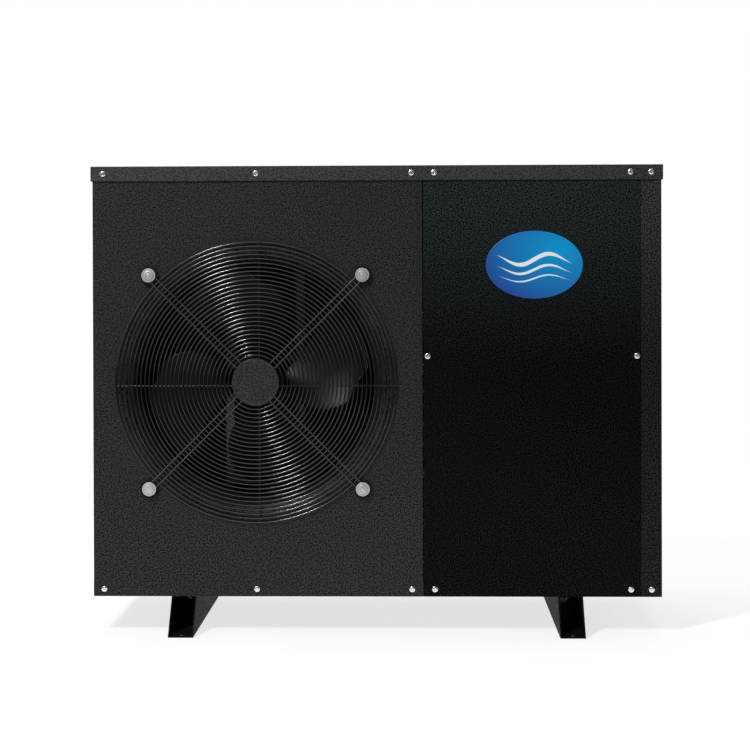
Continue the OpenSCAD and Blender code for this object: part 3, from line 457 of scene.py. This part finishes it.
# ---- Compressor and valves
# A black painted steel shell on rubber grommets, a strapped accumulator beside it, and turned
# brass valves brazed into the copper pipes.
shell_paint = powder("shell_paint", (0.012, 0.012, 0.013), 0.2, rough=0.32, speckle=180)
dress(shell_paint, "compressor", "accumulator")
turned_brass = metal("turned_brass", (0.62, 0.45, 0.17), 0.3, streak=(1, 1, 0.2), tarnish=0.2)
dress(turned_brass, "reversing_valve", "expansion_valve", "service_port_cap")

# ---- Water side
# A moulded vessel with a titanium tube inside. Grey plastic pipes go through the rear panel to
# unions whose ribbed nuts are turned by hand.
vessel_plastic = moulded("vessel_plastic", (0.02, 0.022, 0.024), rough=0.45)
dress(vessel_plastic, "heat_exchanger_shell")
dress(metal("titanium_tube", (0.42, 0.4, 0.38), 0.35), "heat_exchanger_coil")
pipe_plastic = moulded("pipe_plastic", (0.085, 0.09, 0.096), rough=0.42, fleck=0.08)
dress(pipe_plastic, "water_inlet_pipe", "water_outlet_pipe")
eased("union_tailpieces", 0.0008, pipe_plastic)
nut_plastic = moulded("nut_plastic", (0.05, 0.053, 0.058), rough=0.38, fleck=0.08)
eased("inlet_union_nut", 0.001, nut_plastic, "inlet_nut")
eased("outlet_union_nut", 0.001, nut_plastic, "outlet_nut")
dress(zinc_plate, "flow_switch")
bright_steel = metal("bright_steel", (0.7, 0.7, 0.69), 0.28, tarnish=0.06)
dress(bright_steel, "flow_paddle")

# ---- Electric box
# A zinc-plated box behind the service panel, with a green control board, its relays and connectors,
# a run capacitor, a contactor and a terminal block.
eased("electric_box", 0.0005, zinc_plate)
eased("partition", 0.0004, zinc_plate)
dress(moulded("solder_mask", (0.01, 0.12, 0.045), rough=0.3, size=900), "control_board")
dress(moulded("block_plastic", (0.55, 0.54, 0.5), rough=0.5), "electric_parts")

# ---- Motor and bracket
# A black closed motor, bolted to two cross bars between tall rails behind the fan. The rails are
# folded from sheet and powder coated grey.
motor_paint = powder("motor_paint", (0.02, 0.02, 0.022), 0.2, rough=0.36, speckle=220)
dress(motor_paint, "motor_housing", "motor_end_cap")
dress(copper_tube, "motor_stator")
dress(bright_steel, "motor_shaft", "motor_rotor", "motor_bearings", "motor_screws", "hub_nut")
dress(soft_rubber, "motor_cable")
bracket_paint = powder("bracket_paint", (0.13, 0.135, 0.135), 0.2, rough=0.45)
eased("motor_bracket", 0.0004, bracket_paint)

# ---- Fan
# Four broad moulded blades on a round hub, dark grey. Each blade is thin at its edges, twisted,
# and swept forwards, and its trailing edge stands nearer the front.
fan_at = joints["fan_spin"]["pos_m"]
hub_radius = 0.046
hub_length = 0.045
hub_back = -front_y - 0.080
fan_radius = 0.200
blades = 4
blade_turn = 12.0


def on_axis(r, angle, forward):
    """A point round the fan's axis: angle in degrees from +X towards +Z, forward towards the front."""
    a = math.radians(angle)
    return (fan_at[0] + r * math.cos(a), -forward, fan_at[2] + r * math.sin(a))


def blade_place(u, v, side, turned):
    """A point of a blade's skin: v runs from hub to tip, u from edge to edge, side is 1 in front."""
    r = hub_radius - 0.003 + (fan_radius - hub_radius + 0.003) * v
    wide = 50 + 14 * math.sin(math.pi * v)
    lean = 26 * v * v - 12
    corner = 1 - 0.10 * max(0.0, abs(u - 0.5) * 2 - 0.75) / 0.25 * max(0.0, v - 0.8) / 0.2
    angle = lean + (u - 0.5) * wide
    depth = 0.036 + 0.016 * v
    thick = 0.0007 + 0.0022 * math.sin(math.pi * u) * (1 - 0.5 * v)
    rise = (0.5 - u) * depth - 0.006 * math.sin(math.pi * u)
    return on_axis(r * corner, angle + turned, hub_back + hub_length / 2 + rise + 0.003 + side * thick)


def blade_mesh(turned):
    """One closed blade."""
    across, along = 36, 32
    points = [
        blade_place(i / across, j / along, side, turned)
        for side in (1, -1) for j in range(along + 1) for i in range(across + 1)
    ]
    layer = (across + 1) * (along + 1)

    def at(side, i, j):
        return side * layer + j * (across + 1) + i

    faces = []
    for j in range(along):
        for i in range(across):
            faces.append((at(0, i, j), at(0, i, j + 1), at(0, i + 1, j + 1), at(0, i + 1, j)))
            faces.append((at(1, i, j), at(1, i + 1, j), at(1, i + 1, j + 1), at(1, i, j + 1)))
    for i in range(across):
        faces.append((at(0, i, 0), at(0, i + 1, 0), at(1, i + 1, 0), at(1, i, 0)))
        faces.append((at(0, i, along), at(1, i, along), at(1, i + 1, along), at(0, i + 1, along)))
    for j in range(along):
        faces.append((at(0, 0, j), at(1, 0, j), at(1, 0, j + 1), at(0, 0, j + 1)))
        faces.append((at(0, across, j), at(0, across, j + 1), at(1, across, j + 1), at(1, across, j)))
    return points, faces


def lathe(profile, steps=96):
    """A solid of revolution on the fan's axis, from (radius, forward) pairs; its ends close on the axis."""
    points = []
    faces = []
    rows = []
    for r, forward in profile:
        if r < 1e-6:
            rows.append([len(points)])
            points.append(on_axis(0, 0, forward))
        else:
            rows.append(list(range(len(points), len(points) + steps)))
            points += [on_axis(r, 360 * k / steps, forward) for k in range(steps)]
    for a, b in zip(rows, rows[1:]):
        for k in range(steps):
            n = (k + 1) % steps
            if len(a) == 1:
                faces.append((a[0], b[n], b[k]))
            elif len(b) == 1:
                faces.append((a[k], a[n], b[0]))
            else:
                faces.append((a[k], a[n], b[n], b[k]))
    return points, faces


def rounded(points, radius, steps=4):
    """A profile with its inner corners rounded."""
    done = [points[0]]
    for before, here, after in zip(points, points[1:], points[2:]):
        p, q, s = Vector(before), Vector(here), Vector(after)
        one, two = (p - q), (s - q)
        if one.length < 1e-9 or two.length < 1e-9:
            continue
        cut = min(radius, one.length * 0.45, two.length * 0.45)
        start, end = q + one.normalized() * cut, q + two.normalized() * cut
        for k in range(steps + 1):
            t = k / steps
            done.append(tuple((1 - t) ** 2 * start + 2 * t * (1 - t) * q + t * t * end))
    done.append(points[-1])
    return done


def joined(name, parts):
    """One smooth piece from several sets of points and faces."""
    points = []
    faces = []
    for some_points, some_faces in parts:
        base = len(points)
        points += some_points
        faces += [tuple(base + i for i in face) for face in some_faces]
    obj = mesh_of(name, points, faces, smooth=True)
    work = bmesh.new()
    work.from_mesh(obj.data)
    bmesh.ops.recalc_face_normals(work, faces=work.faces)
    work.to_mesh(obj.data)
    work.free()
    return obj


hub_front = hub_back + hub_length
wall = 0.005
bore = 0.00605
hub_profile = rounded([
    (bore, hub_back + 0.006), (0.014, hub_back + 0.006), (0.014, hub_front - wall),
    (hub_radius - wall, hub_front - wall), (hub_radius - wall, hub_back), (hub_radius, hub_back),
    (hub_radius, hub_front), (0.018, hub_front), (0.016, hub_front - 0.002),
    (bore, hub_front - 0.002), (bore, hub_back + 0.006),
], 0.0025)
fan_parts = [lathe(hub_profile)]
fan_parts += [blade_mesh(360 / blades * k + blade_turn) for k in range(blades)]
impeller = joined("impeller", fan_parts)
fan_plastic = moulded("fan_plastic", (0.0012, 0.002, 0.0024), rough=0.34, fleck=0.2, size=240, shine=0.135)
settle(impeller, fan_plastic, stands_for=["fan_impeller"], body="fan")

# ---- Panels
# Sheet steel, folded at the edges and powder coated in fine textured black. The fan panel's mouth
# is drawn inwards in one smooth bell that ends in a short collar round the blade tips.
sheet = 0.0012
bell_radius = 0.036
throat = fan_radius + 0.008
mouth = throat + bell_radius
collar = 0.028
panel_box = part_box("fan_panel")
seam_return = 0.014
left_return = 0.040
fold_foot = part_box("base_pan")[1].z + 0.006
skin_fold = 0.0014
skin_edge = 0.0003
panel_paint = powder("panel_paint", (0.0122, 0.0131, 0.0131), 0.78, rough=0.5, shine=0.27)

bell_steps = 16
bell_rows = []
for k in range(bell_steps + 1):
    a = math.pi / 2 * k / bell_steps
    bell_rows.append((-front_y - bell_radius * (1 - math.cos(a)), mouth - bell_radius * math.sin(a)))
bell_rows.append((-front_y - bell_radius - collar, throat))


def mouth_ring(r, forward, steps=192):
    """A ring of points round the fan's axis."""
    return [on_axis(r, 360 * k / steps, forward) for k in range(steps)]


def fan_panel_mesh():
    """The panel's outer skin: a face round the mouth, the bell behind it, and three folded returns."""
    low, high = panel_box
    work = bmesh.new()
    corners = [
        (low.x, low.z), (high.x, low.z), (high.x, fold_foot),
        (high.x, high.z), (low.x, high.z), (low.x, fold_foot),
    ]
    cuts = 16
    outline = []
    for (x0, z0), (x1, z1) in zip(corners, corners[1:] + corners[:1]):
        for k in range(cuts):
            t = k / cuts
            outline.append(work.verts.new((x0 + (x1 - x0) * t, low.y, z0 + (z1 - z0) * t)))
    rings = [[work.verts.new(p) for p in mouth_ring(r, forward)] for forward, r in bell_rows]
    edges = []
    for loop in (outline, rings[0]):
        for a, b in zip(loop, loop[1:] + loop[:1]):
            edges.append(work.edges.new((a, b)))
    bmesh.ops.triangle_fill(work, use_beauty=True, edges=edges)
    for first, last, depth in ((2, 3, seam_return), (3, 4, seam_return), (4, 5, left_return)):
        front_row = outline[first * cuts: last * cuts + 1]
        back_row = [work.verts.new(v.co + Vector((0, depth, 0))) for v in front_row]
        for a, b, c, d in zip(front_row, front_row[1:], back_row[1:], back_row):
            work.faces.new((a, b, c, d))
    for a, b in zip(rings, rings[1:]):
        for k in range(len(a)):
            n = (k + 1) % len(a)
            face = work.faces.new((a[k], a[n], b[n], b[k]))
            face.smooth = True
    bmesh.ops.recalc_face_normals(work, faces=work.faces)
    mesh = bpy.data.meshes.new("fan_panel_skin")
    work.to_mesh(mesh)
    work.free()
    return mesh


def bevelled(obj, name, width, segments):
    """A bevel along the edges that turn by more than 40 degrees."""
    edge = obj.modifiers.new(name, "BEVEL")
    edge.width = width
    edge.segments = segments
    edge.limit_method = "ANGLE"
    edge.angle_limit = math.radians(40)
    return edge


panel_skin = bpy.data.objects.new("fan_panel_skin", fan_panel_mesh())
scene.collection.objects.link(panel_skin)
bevelled(panel_skin, "folds", skin_fold, 3)
plate = panel_skin.modifiers.new("sheet", "SOLIDIFY")
plate.thickness = sheet
plate.offset = -1.0
plate.use_even_offset = True
bevelled(panel_skin, "edges", skin_edge, 2).harden_normals = True
settle(panel_skin, panel_paint, stands_for=["fan_panel"])

# The service and side panels are separate sheets in a darker tone of the same powder. Their colour is
# painted lighter towards the top, a painted highlight of the overhead light.
cut_edge = 0.0005
upright_fold = 0.0011
service_paint = powder("service_paint", (0.0019, 0.0027, 0.0026), 0.95, rough=0.52, shine=0.07, painted_top_light=7.5)
eased("service_panel", cut_edge, service_paint, fold=upright_fold)
side_paint = powder("side_paint", (0.0062, 0.0070, 0.0070), 0.95, rough=0.5, shine=0.15, painted_top_light=4.5)
eased("right_side_panel", cut_edge, side_paint, fold=upright_fold)
eased("rear_panel", cut_edge, side_paint, fold=upright_fold)
eased("rear_corner_post", cut_edge, side_paint, fold=upright_fold)

# ---- Badge
# A thin oval plate printed with an unlettered sea: deep blue below, brighter to the upper right, and
# pale waves across it. It is glued to the service panel.
badge_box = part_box("badge")
badge_mid = (badge_box[0] + badge_box[1]) / 2
badge_half = (badge_box[1] - badge_box[0]) / 2


def badge_mesh():
    """The plate, with a rounded raised rim round a face that sits a little lower."""
    steps = 128
    rows = [(1.0, 1.0), (1.0, 0.35), (0.985, 0.0), (0.965, 0.0), (0.955, 0.2), (0.94, 0.25)]
    points = []
    faces = []
    thick = badge_half.y * 2
    for reach, back in rows:
        for k in range(steps):
            a = 2 * math.pi * k / steps
            points.append((
                badge_mid.x + badge_half.x * reach * math.cos(a),
                badge_box[0].y + thick * back,
                badge_mid.z + badge_half.z * reach * math.sin(a),
            ))
    for row in range(len(rows) - 1):
        for k in range(steps):
            n = (k + 1) % steps
            faces.append((row * steps + k, row * steps + n, (row + 1) * steps + n, (row + 1) * steps + k))
    faces.append(tuple(range((len(rows) - 1) * steps, len(rows) * steps)))
    faces.append(tuple(reversed(range(steps))))
    return points, faces


badge = joined("badge_plate", [badge_mesh()])
badge_print = bpy.data.materials.new("badge_print")
tree, links, shader = nodes_of(badge_print)
where = add(tree, "ShaderNodeTexCoord")
local = add(tree, "ShaderNodeMapping", vector_type="POINT")
local.inputs["Location"].default_value = [-badge_mid.x, -badge_mid.y, -badge_mid.z]
links.new(where.outputs["Object"], local.inputs["Vector"])
parts = add(tree, "ShaderNodeSeparateXYZ")
links.new(local.outputs["Vector"], parts.inputs["Vector"])


def sums(operation, one, two, clamp=False):
    """One arithmetic step of the print."""
    step = add(tree, "ShaderNodeMath", operation=operation)
    step.use_clamp = clamp
    for socket, value in zip(step.inputs, (one, two)):
        if isinstance(value, (int, float)):
            socket.default_value = value
        else:
            links.new(value, socket)
    return step.outputs[0]


over = sums("DIVIDE", parts.outputs["X"], badge_half.x)
upward = sums("DIVIDE", parts.outputs["Z"], badge_half.z)
# the sea is brightest round a point at its upper right
aside = sums("POWER", sums("SUBTRACT", over, 0.5), 2.0)
above = sums("POWER", sums("SUBTRACT", upward, 0.45), 2.0)
mixed = sums("SUBTRACT", 1.0, sums("DIVIDE", sums("SQRT", sums("ADD", aside, above), 0), 1.9), clamp=True)
sea = add(tree, "ShaderNodeValToRGB")
sea.color_ramp.elements[0].position = 0.1
sea.color_ramp.elements[0].color = (0.014, 0.06, 0.3, 1)
sea.color_ramp.elements[1].position = 0.95
sea.color_ramp.elements[1].color = (0.0, 0.3, 0.62, 1)
links.new(mixed, sea.inputs["Fac"])


def wave(height, swell, pitch, half_width):
    """A pale band along a sine curve, tapered to points at both ends."""
    curve = sums("MULTIPLY", sums("SINE", sums("MULTIPLY", over, pitch), 0), swell)
    away = sums("ABSOLUTE", sums("SUBTRACT", sums("SUBTRACT", upward, height), curve), 0)
    along = sums("DIVIDE", sums("ABSOLUTE", over, 0), 0.8)
    taper = sums("SUBTRACT", 1.0, sums("POWER", along, 2.0), clamp=True)
    width = sums("MULTIPLY", taper, half_width)
    return sums("MULTIPLY", sums("SUBTRACT", width, away), 60.0, clamp=True)


bands = sums("MAXIMUM", wave(0.16, 0.16, 5.2, 0.075), wave(-0.14, 0.13, 5.2, 0.05))
bands = sums("MAXIMUM", bands, wave(-0.4, 0.1, 5.2, 0.032))
ink = add(tree, "ShaderNodeMix", data_type="RGBA")
links.new(bands, ink.inputs["Factor"])
links.new(sea.outputs["Color"], ink.inputs[6])
ink.inputs[7].default_value = (0.8, 0.86, 0.9, 1)
links.new(ink.outputs[2], shader.inputs["Base Color"])
mottle = add(tree, "ShaderNodeTexNoise", Scale=240.0, Detail=2.0)
links.new(where.outputs["Object"], mottle.inputs["Vector"])
links.new(spread(tree, mottle.outputs["Fac"], 0.3, 0.44), shader.inputs["Roughness"])
shader.inputs["Specular IOR Level"].default_value = 0.25
settle(badge, badge_print, stands_for=["badge"])

# ---- Fan guard
# Drawn steel wire, welded into rings on spokes and coated in gloss black. Hairpins lie in front of
# the rings and two straight wires cross behind them. A domed disc covers the middle.


def wire(path, radius, closed, sides=10):
    """A round wire along a path in the guard's plane, with flat ends if it is open."""
    pts = np.array(path, dtype=float)
    n = len(pts)
    if closed:
        ahead = np.roll(pts, -1, axis=0) - np.roll(pts, 1, axis=0)
    else:
        ahead = np.empty_like(pts)
        ahead[1:-1] = pts[2:] - pts[:-2]
        ahead[0] = pts[1] - pts[0]
        ahead[-1] = pts[-1] - pts[-2]
    ahead /= np.linalg.norm(ahead, axis=1)[:, None]
    one = np.cross(ahead, np.array((0.0, 1.0, 0.0)))
    one /= np.linalg.norm(one, axis=1)[:, None]
    two = np.cross(ahead, one)
    turns = 2 * np.pi * np.arange(sides) / sides
    ring = (
        pts[:, None, :]
        + radius * np.cos(turns)[None, :, None] * one[:, None, :]
        + radius * np.sin(turns)[None, :, None] * two[:, None, :]
    )
    points = [tuple(p) for p in ring.reshape(-1, 3)]
    faces = []
    for i in range(n if closed else n - 1):
        j = (i + 1) % n
        for k in range(sides):
            m = (k + 1) % sides
            faces.append((i * sides + k, i * sides + m, j * sides + m, j * sides + k))
    if not closed:
        faces.append(tuple(range(sides)))
        faces.append(tuple(reversed(range((n - 1) * sides, n * sides))))
    return points, faces


ring_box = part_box("guard_rings")
wire_radius = (ring_box[1].y - ring_box[0].y) / 2
ring_forward = -(ring_box[1].y + ring_box[0].y) / 2
ring_count = 28
ring_first = 0.048
ring_last = (ring_box[1].x - ring_box[0].x) / 2 - wire_radius
ring_step = (ring_last - ring_first) / (ring_count - 1)
rings = []
for k in range(ring_count):
    rings.append(wire(mouth_ring(ring_first + ring_step * k, ring_forward, 160), wire_radius, True))
guard_gloss = metal("guard_gloss", (0.098, 0.102, 0.105), 0.15, span=0.04, tarnish=0.1, depth=0.000006)
settle(joined("guard_ring_wires", rings), guard_gloss, stands_for=["guard_rings"])

pin_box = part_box("guard_hairpins")
pin_forward = -(pin_box[1].y + pin_box[0].y) / 2
wire_dull = metal("wire_dull", (0.05, 0.052, 0.054), 0.4, tarnish=0.1)
eased("guard_cross_wires", 0.0002, wire_dull, angle=60)
pin_half = 0.0058
pin_near = 0.0275
bolt_reach = 0.266


def in_plane(x, y, turned, forward):
    """A point in the guard's plane, x along a spoke and y across it."""
    a = math.radians(turned)
    return (
        fan_at[0] + x * math.cos(a) - y * math.sin(a),
        -forward,
        fan_at[2] + x * math.sin(a) + y * math.cos(a),
    )


leg_steps = 6
eye_steps = 24
leg = bolt_reach - pin_near
pins = []
for spoke in (45, 135, 225, 315):
    path = [(pin_near + leg * k / leg_steps, pin_half) for k in range(leg_steps + 1)]
    for k in range(1, eye_steps):
        a = math.pi / 2 - math.pi * k / eye_steps
        path.append((bolt_reach + pin_half * math.cos(a), pin_half * math.sin(a)))
    path += [(bolt_reach - leg * k / leg_steps, -pin_half) for k in range(leg_steps + 1)]
    pins.append(wire([in_plane(x, y, spoke, pin_forward) for x, y in path], wire_radius, False, 12))
pin_wires = joined("guard_pins", pins)
cut_ends = pin_wires.modifiers.new("cut_ends", "EDGE_SPLIT")
cut_ends.split_angle = math.radians(60)
# The hairpins share the rings' gloss black coating, painted a little lighter here: a painted highlight.
pin_painted_highlight = metal("pin_painted_highlight", (0.118, 0.122, 0.125), 0.2, span=0.04, tarnish=0.1, depth=0.000006)
settle(pin_wires, pin_painted_highlight, stands_for=["guard_hairpins"])

# The disc is pressed with a rolled edge and a very low dome.
disc_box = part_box("guard_disc")
disc_radius = (disc_box[1].x - disc_box[0].x) / 2
disc_back, disc_front = -disc_box[1].y, -disc_box[0].y
disc_profile = [(0, disc_back)]
disc_profile += [(disc_radius - 0.0007, disc_back), (disc_radius, disc_back + 0.0005)]
disc_profile += [(disc_radius, disc_front - 0.0005), (disc_radius - 0.0006, disc_front)]
disc_profile += [(disc_radius - 0.0022, disc_front), (disc_radius - 0.0032, disc_front - 0.00045)]
disc_profile += [(disc_radius - 0.006, disc_front - 0.0006), (disc_radius * 0.5, disc_front - 0.0002)]
disc_profile += [(0.0, disc_front)]
disc_paint = powder("disc_paint", (0.0175, 0.0188, 0.0184), 0.6, rough=0.46, shine=0.35)
centre_disc = joined("guard_centre", [lathe(disc_profile)])
settle(centre_disc, disc_paint, stands_for=["guard_disc"])

# ---- Guard fixings
# A rubber spacer holds the guard off the panel at each corner. A bright stepped washer and a domed
# bolt clamp the end of each hairpin.
bolt_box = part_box("guard_bolts")
bolt_mid = ((bolt_box[0].x + bolt_box[1].x) / 2, (bolt_box[0].z + bolt_box[1].z) / 2)
bolt_radius = 0.0074
bolt_span = (bolt_box[1].x - bolt_box[0].x) / 2 - bolt_radius


def turned_pieces(name, profile):
    """Four like turned pieces, one at each guard bolt, with flat faces that stay flat."""
    points, faces = lathe(profile, 48)
    parts = []
    for side_x, side_z in ((-1, -1), (-1, 1), (1, -1), (1, 1)):
        over_x = bolt_mid[0] + side_x * bolt_span - fan_at[0]
        over_z = bolt_mid[1] + side_z * bolt_span - fan_at[2]
        parts.append(([(x + over_x, y, z + over_z) for x, y, z in points], faces))
    obj = joined(name, parts)
    split = obj.modifiers.new("steps", "EDGE_SPLIT")
    split.split_angle = math.radians(50)
    even = obj.modifiers.new("even", "WEIGHTED_NORMAL")
    even.weight = 80
    return obj


spacer_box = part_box("guard_spacers")
spacer_back, spacer_front = -spacer_box[1].y, -spacer_box[0].y
spacer_bore, spacer_radius = 0.0045, 0.016
spacer_profile = rounded([
    (spacer_bore, spacer_back), (spacer_radius, spacer_back), (spacer_radius, spacer_front),
    (spacer_bore, spacer_front), (spacer_bore, spacer_back),
], 0.0006, 3)
spacers = turned_pieces("spacers", spacer_profile)
settle(spacers, soft_rubber, stands_for=["guard_spacers"])

washer_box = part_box("guard_washers")
washer_back, washer_front = -washer_box[1].y, -washer_box[0].y
washer_bore, washer_radius, step_radius = 0.0043, 0.01225, 0.0088
rim_front, groove_foot = washer_back + 0.0016, washer_back + 0.0006
washer_profile = rounded([
    (washer_bore, washer_back), (washer_radius, washer_back), (washer_radius, rim_front),
    (0.0098, rim_front), (0.0094, groove_foot), (step_radius, groove_foot),
    (step_radius, washer_front), (washer_bore, washer_front), (washer_bore, washer_back),
], 0.0002, 3)
turned_steel = metal("turned_steel", (0.68, 0.68, 0.67), 0.44, tarnish=0.08, size=420)
washers = turned_pieces("washers", washer_profile)
settle(washers, turned_steel, stands_for=["guard_washers"])

bolt_front = -bolt_box[0].y
shank_back = -bolt_box[1].y
groove = 0.0011
shank, rim = 0.004, bolt_front - 0.0007
bolt_profile = [(0, shank_back), (0.0035, shank_back), (shank, shank_back + 0.0006), (shank, washer_front)]
bolt_profile += [(bolt_radius, washer_front), (bolt_radius, bolt_front - 0.0011), (0.0070, rim)]
bolt_profile += [(0.0056, rim), (0.0051, rim - groove), (0.0038, rim - groove)]
bolt_profile += [(0.0034, bolt_front - 0.0004), (0.0022, bolt_front - 0.0001), (0.0, bolt_front)]
bolts = turned_pieces("bolts", bolt_profile)
settle(bolts, turned_steel, stands_for=["guard_bolts"])

# ---- Lid
# A tray folded from one sheet, spot welded at the corners and powder coated. Its flange laps over
# the tops of all the panels and is screwed to them.
lid_paint = powder("lid_paint", (0.027, 0.028, 0.028), 0.6, rough=0.5, shine=0.35)
eased("lid", 0.0007, lid_paint)

# ---- Screws
# Bright pan-head self-tapping screws with a cross recess. The lid, each panel's lower edge and the
# middle of the service panel have their own.
head_radius = 0.00525
head_height = 0.0026
shank_radius = 0.0021


def screw_template():
    """One screw, its head up +Z from the sheet's face at the origin."""
    work = bmesh.new()
    steps = 40
    profile = [(0.0, -0.006), (0.0012, -0.0058), (shank_radius, -0.0045), (shank_radius, 0.0)]
    profile += [(head_radius, 0.0), (head_radius, 0.0009)]
    crown, rim = 0.0016, 0.0009
    for k in range(1, 9):
        a = math.pi / 2 * k / 8
        out, up = math.cos(a), math.sin(a)
        profile.append((crown + (head_radius - crown) * out, rim + (head_height - rim) * up))
    profile.append((0.0, head_height))
    rows = []
    for r, z in profile:
        if r < 1e-7:
            rows.append([work.verts.new((0, 0, z))])
        else:
            round_turn = [2 * math.pi * k / steps for k in range(steps)]
            rows.append([work.verts.new((r * math.cos(a), r * math.sin(a), z)) for a in round_turn])
    for a, b in zip(rows, rows[1:]):
        for k in range(steps):
            n = (k + 1) % steps
            if len(a) == 1:
                work.faces.new((a[0], b[n], b[k]))
            elif len(b) == 1:
                work.faces.new((a[k], a[n], b[0]))
            else:
                work.faces.new((a[k], a[n], b[n], b[k]))
    bmesh.ops.recalc_face_normals(work, faces=work.faces)
    mesh = bpy.data.meshes.new("screw_template")
    work.to_mesh(mesh)
    work.free()
    head = bpy.data.objects.new("screw_template", mesh)
    scene.collection.objects.link(head)
    cross = bmesh.new()
    for slot_turn in (0, math.pi / 2):
        base = []
        slot_top = (head_height + 0.001, 0.0034, 0.0008)
        slot_foot = (head_height - 0.0012, 0.0018, 0.0005)
        for z, half_long, half_wide in (slot_top, slot_foot):
            for sx, sy in ((-1, -1), (1, -1), (1, 1), (-1, 1)):
                x, y = sx * half_long, sy * half_wide
                base.append(cross.verts.new((
                    x * math.cos(slot_turn) - y * math.sin(slot_turn),
                    x * math.sin(slot_turn) + y * math.cos(slot_turn), z,
                )))
        for face in BOX_FACES:
            cross.faces.new([base[i] for i in face])
    bmesh.ops.recalc_face_normals(cross, faces=cross.faces)
    cut_mesh = bpy.data.meshes.new("cross_cut")
    cross.to_mesh(cut_mesh)
    cross.free()
    cutter = bpy.data.objects.new("cross_cut", cut_mesh)
    scene.collection.objects.link(cutter)
    recess = head.modifiers.new("recess", "BOOLEAN")
    recess.operation = "DIFFERENCE"
    recess.object = cutter
    recess.solver = "EXACT"
    recess.use_self = True
    ready = bpy.context.evaluated_depsgraph_get()
    cut = bpy.data.meshes.new_from_object(head.evaluated_get(ready))
    bpy.data.objects.remove(head)
    bpy.data.objects.remove(cutter)
    points = [tuple(v.co) for v in cut.vertices]
    faces = [tuple(p.vertices) for p in cut.polygons]
    return points, faces


template_points, template_faces = screw_template()
lid_low, lid_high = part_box("lid")
right_x = lid_high.x - 0.0027
left_x = -right_x
seam_x = panel_box[1].x + 0.0006
lid_screw_z = lid_high.z - 0.0128
front_xs = [left_x + 0.019, fan_at[0] + 0.001, seam_x - 0.020]
front_xs += [seam_x + 0.020, right_x - 0.054, right_x - 0.018]
back_xs = [front_xs[0], *front_xs[3:]]


def screw_at(x, y, z, way, turned):
    """A screw whose head stands off the sheet along way, its recess turned by an angle."""
    spin = Vector(way).to_track_quat("Z", "Y")
    twist = (math.cos(turned), math.sin(turned))
    placed = []
    for px, py, pz in template_points:
        local = Vector((px * twist[0] - py * twist[1], px * twist[1] + py * twist[0], pz))
        placed.append(tuple(spin @ local + Vector((x, y, z))))
    return placed, template_faces


polished_steel = metal("polished_steel", (0.88, 0.88, 0.87), 0.24, tarnish=0.04, size=420)


def screws(name, places, stands_for):
    """All the screws of one kind, as one piece."""
    parts = [screw_at(*place, 0.7 * k) for k, place in enumerate(places)]
    obj = joined(name, parts)
    crisp = obj.modifiers.new("crisp", "EDGE_SPLIT")
    crisp.split_angle = math.radians(32)
    settle(obj, polished_steel, stands_for=stands_for)


back_y = -front_y
end_ys = (front_y + 0.020, back_y - 0.020)
places = [(x, lid_low.y, lid_screw_z, (0, -1, 0)) for x in front_xs]
places += [(x, lid_high.y, lid_screw_z, (0, 1, 0)) for x in back_xs]
places += [(lid_low.x, y, lid_screw_z, (-1, 0, 0)) for y in end_ys]
places += [(lid_high.x, y, lid_screw_z, (1, 0, 0)) for y in end_ys]
screws("lid_fixings", places, ["lid_screws"])
screw_low, screw_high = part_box("panel_screws")
low_screw_z = screw_low.z + head_radius
mid_z = screw_high.z - head_radius
places = [(x, front_y, low_screw_z, (0, -1, 0)) for x in front_xs]
places += [(x, back_y, low_screw_z, (0, 1, 0)) for x in back_xs]
places += [(seam_x + 0.008, front_y, mid_z, (0, -1, 0)), (right_x - 0.043, front_y, mid_z, (0, -1, 0))]
screws("panel_fixings", places, ["panel_screws"])

# ---- Coil guards
# Welded wire grids, dipped in black plastic and seated inside the panels round them. They keep
# hands and leaves off the fins at the left and rear.
dipped_wire = moulded("dipped_wire", (0.014, 0.015, 0.015), rough=0.4, fleck=0.2)
dress(dipped_wire, "left_coil_guard", "rear_coil_guard")
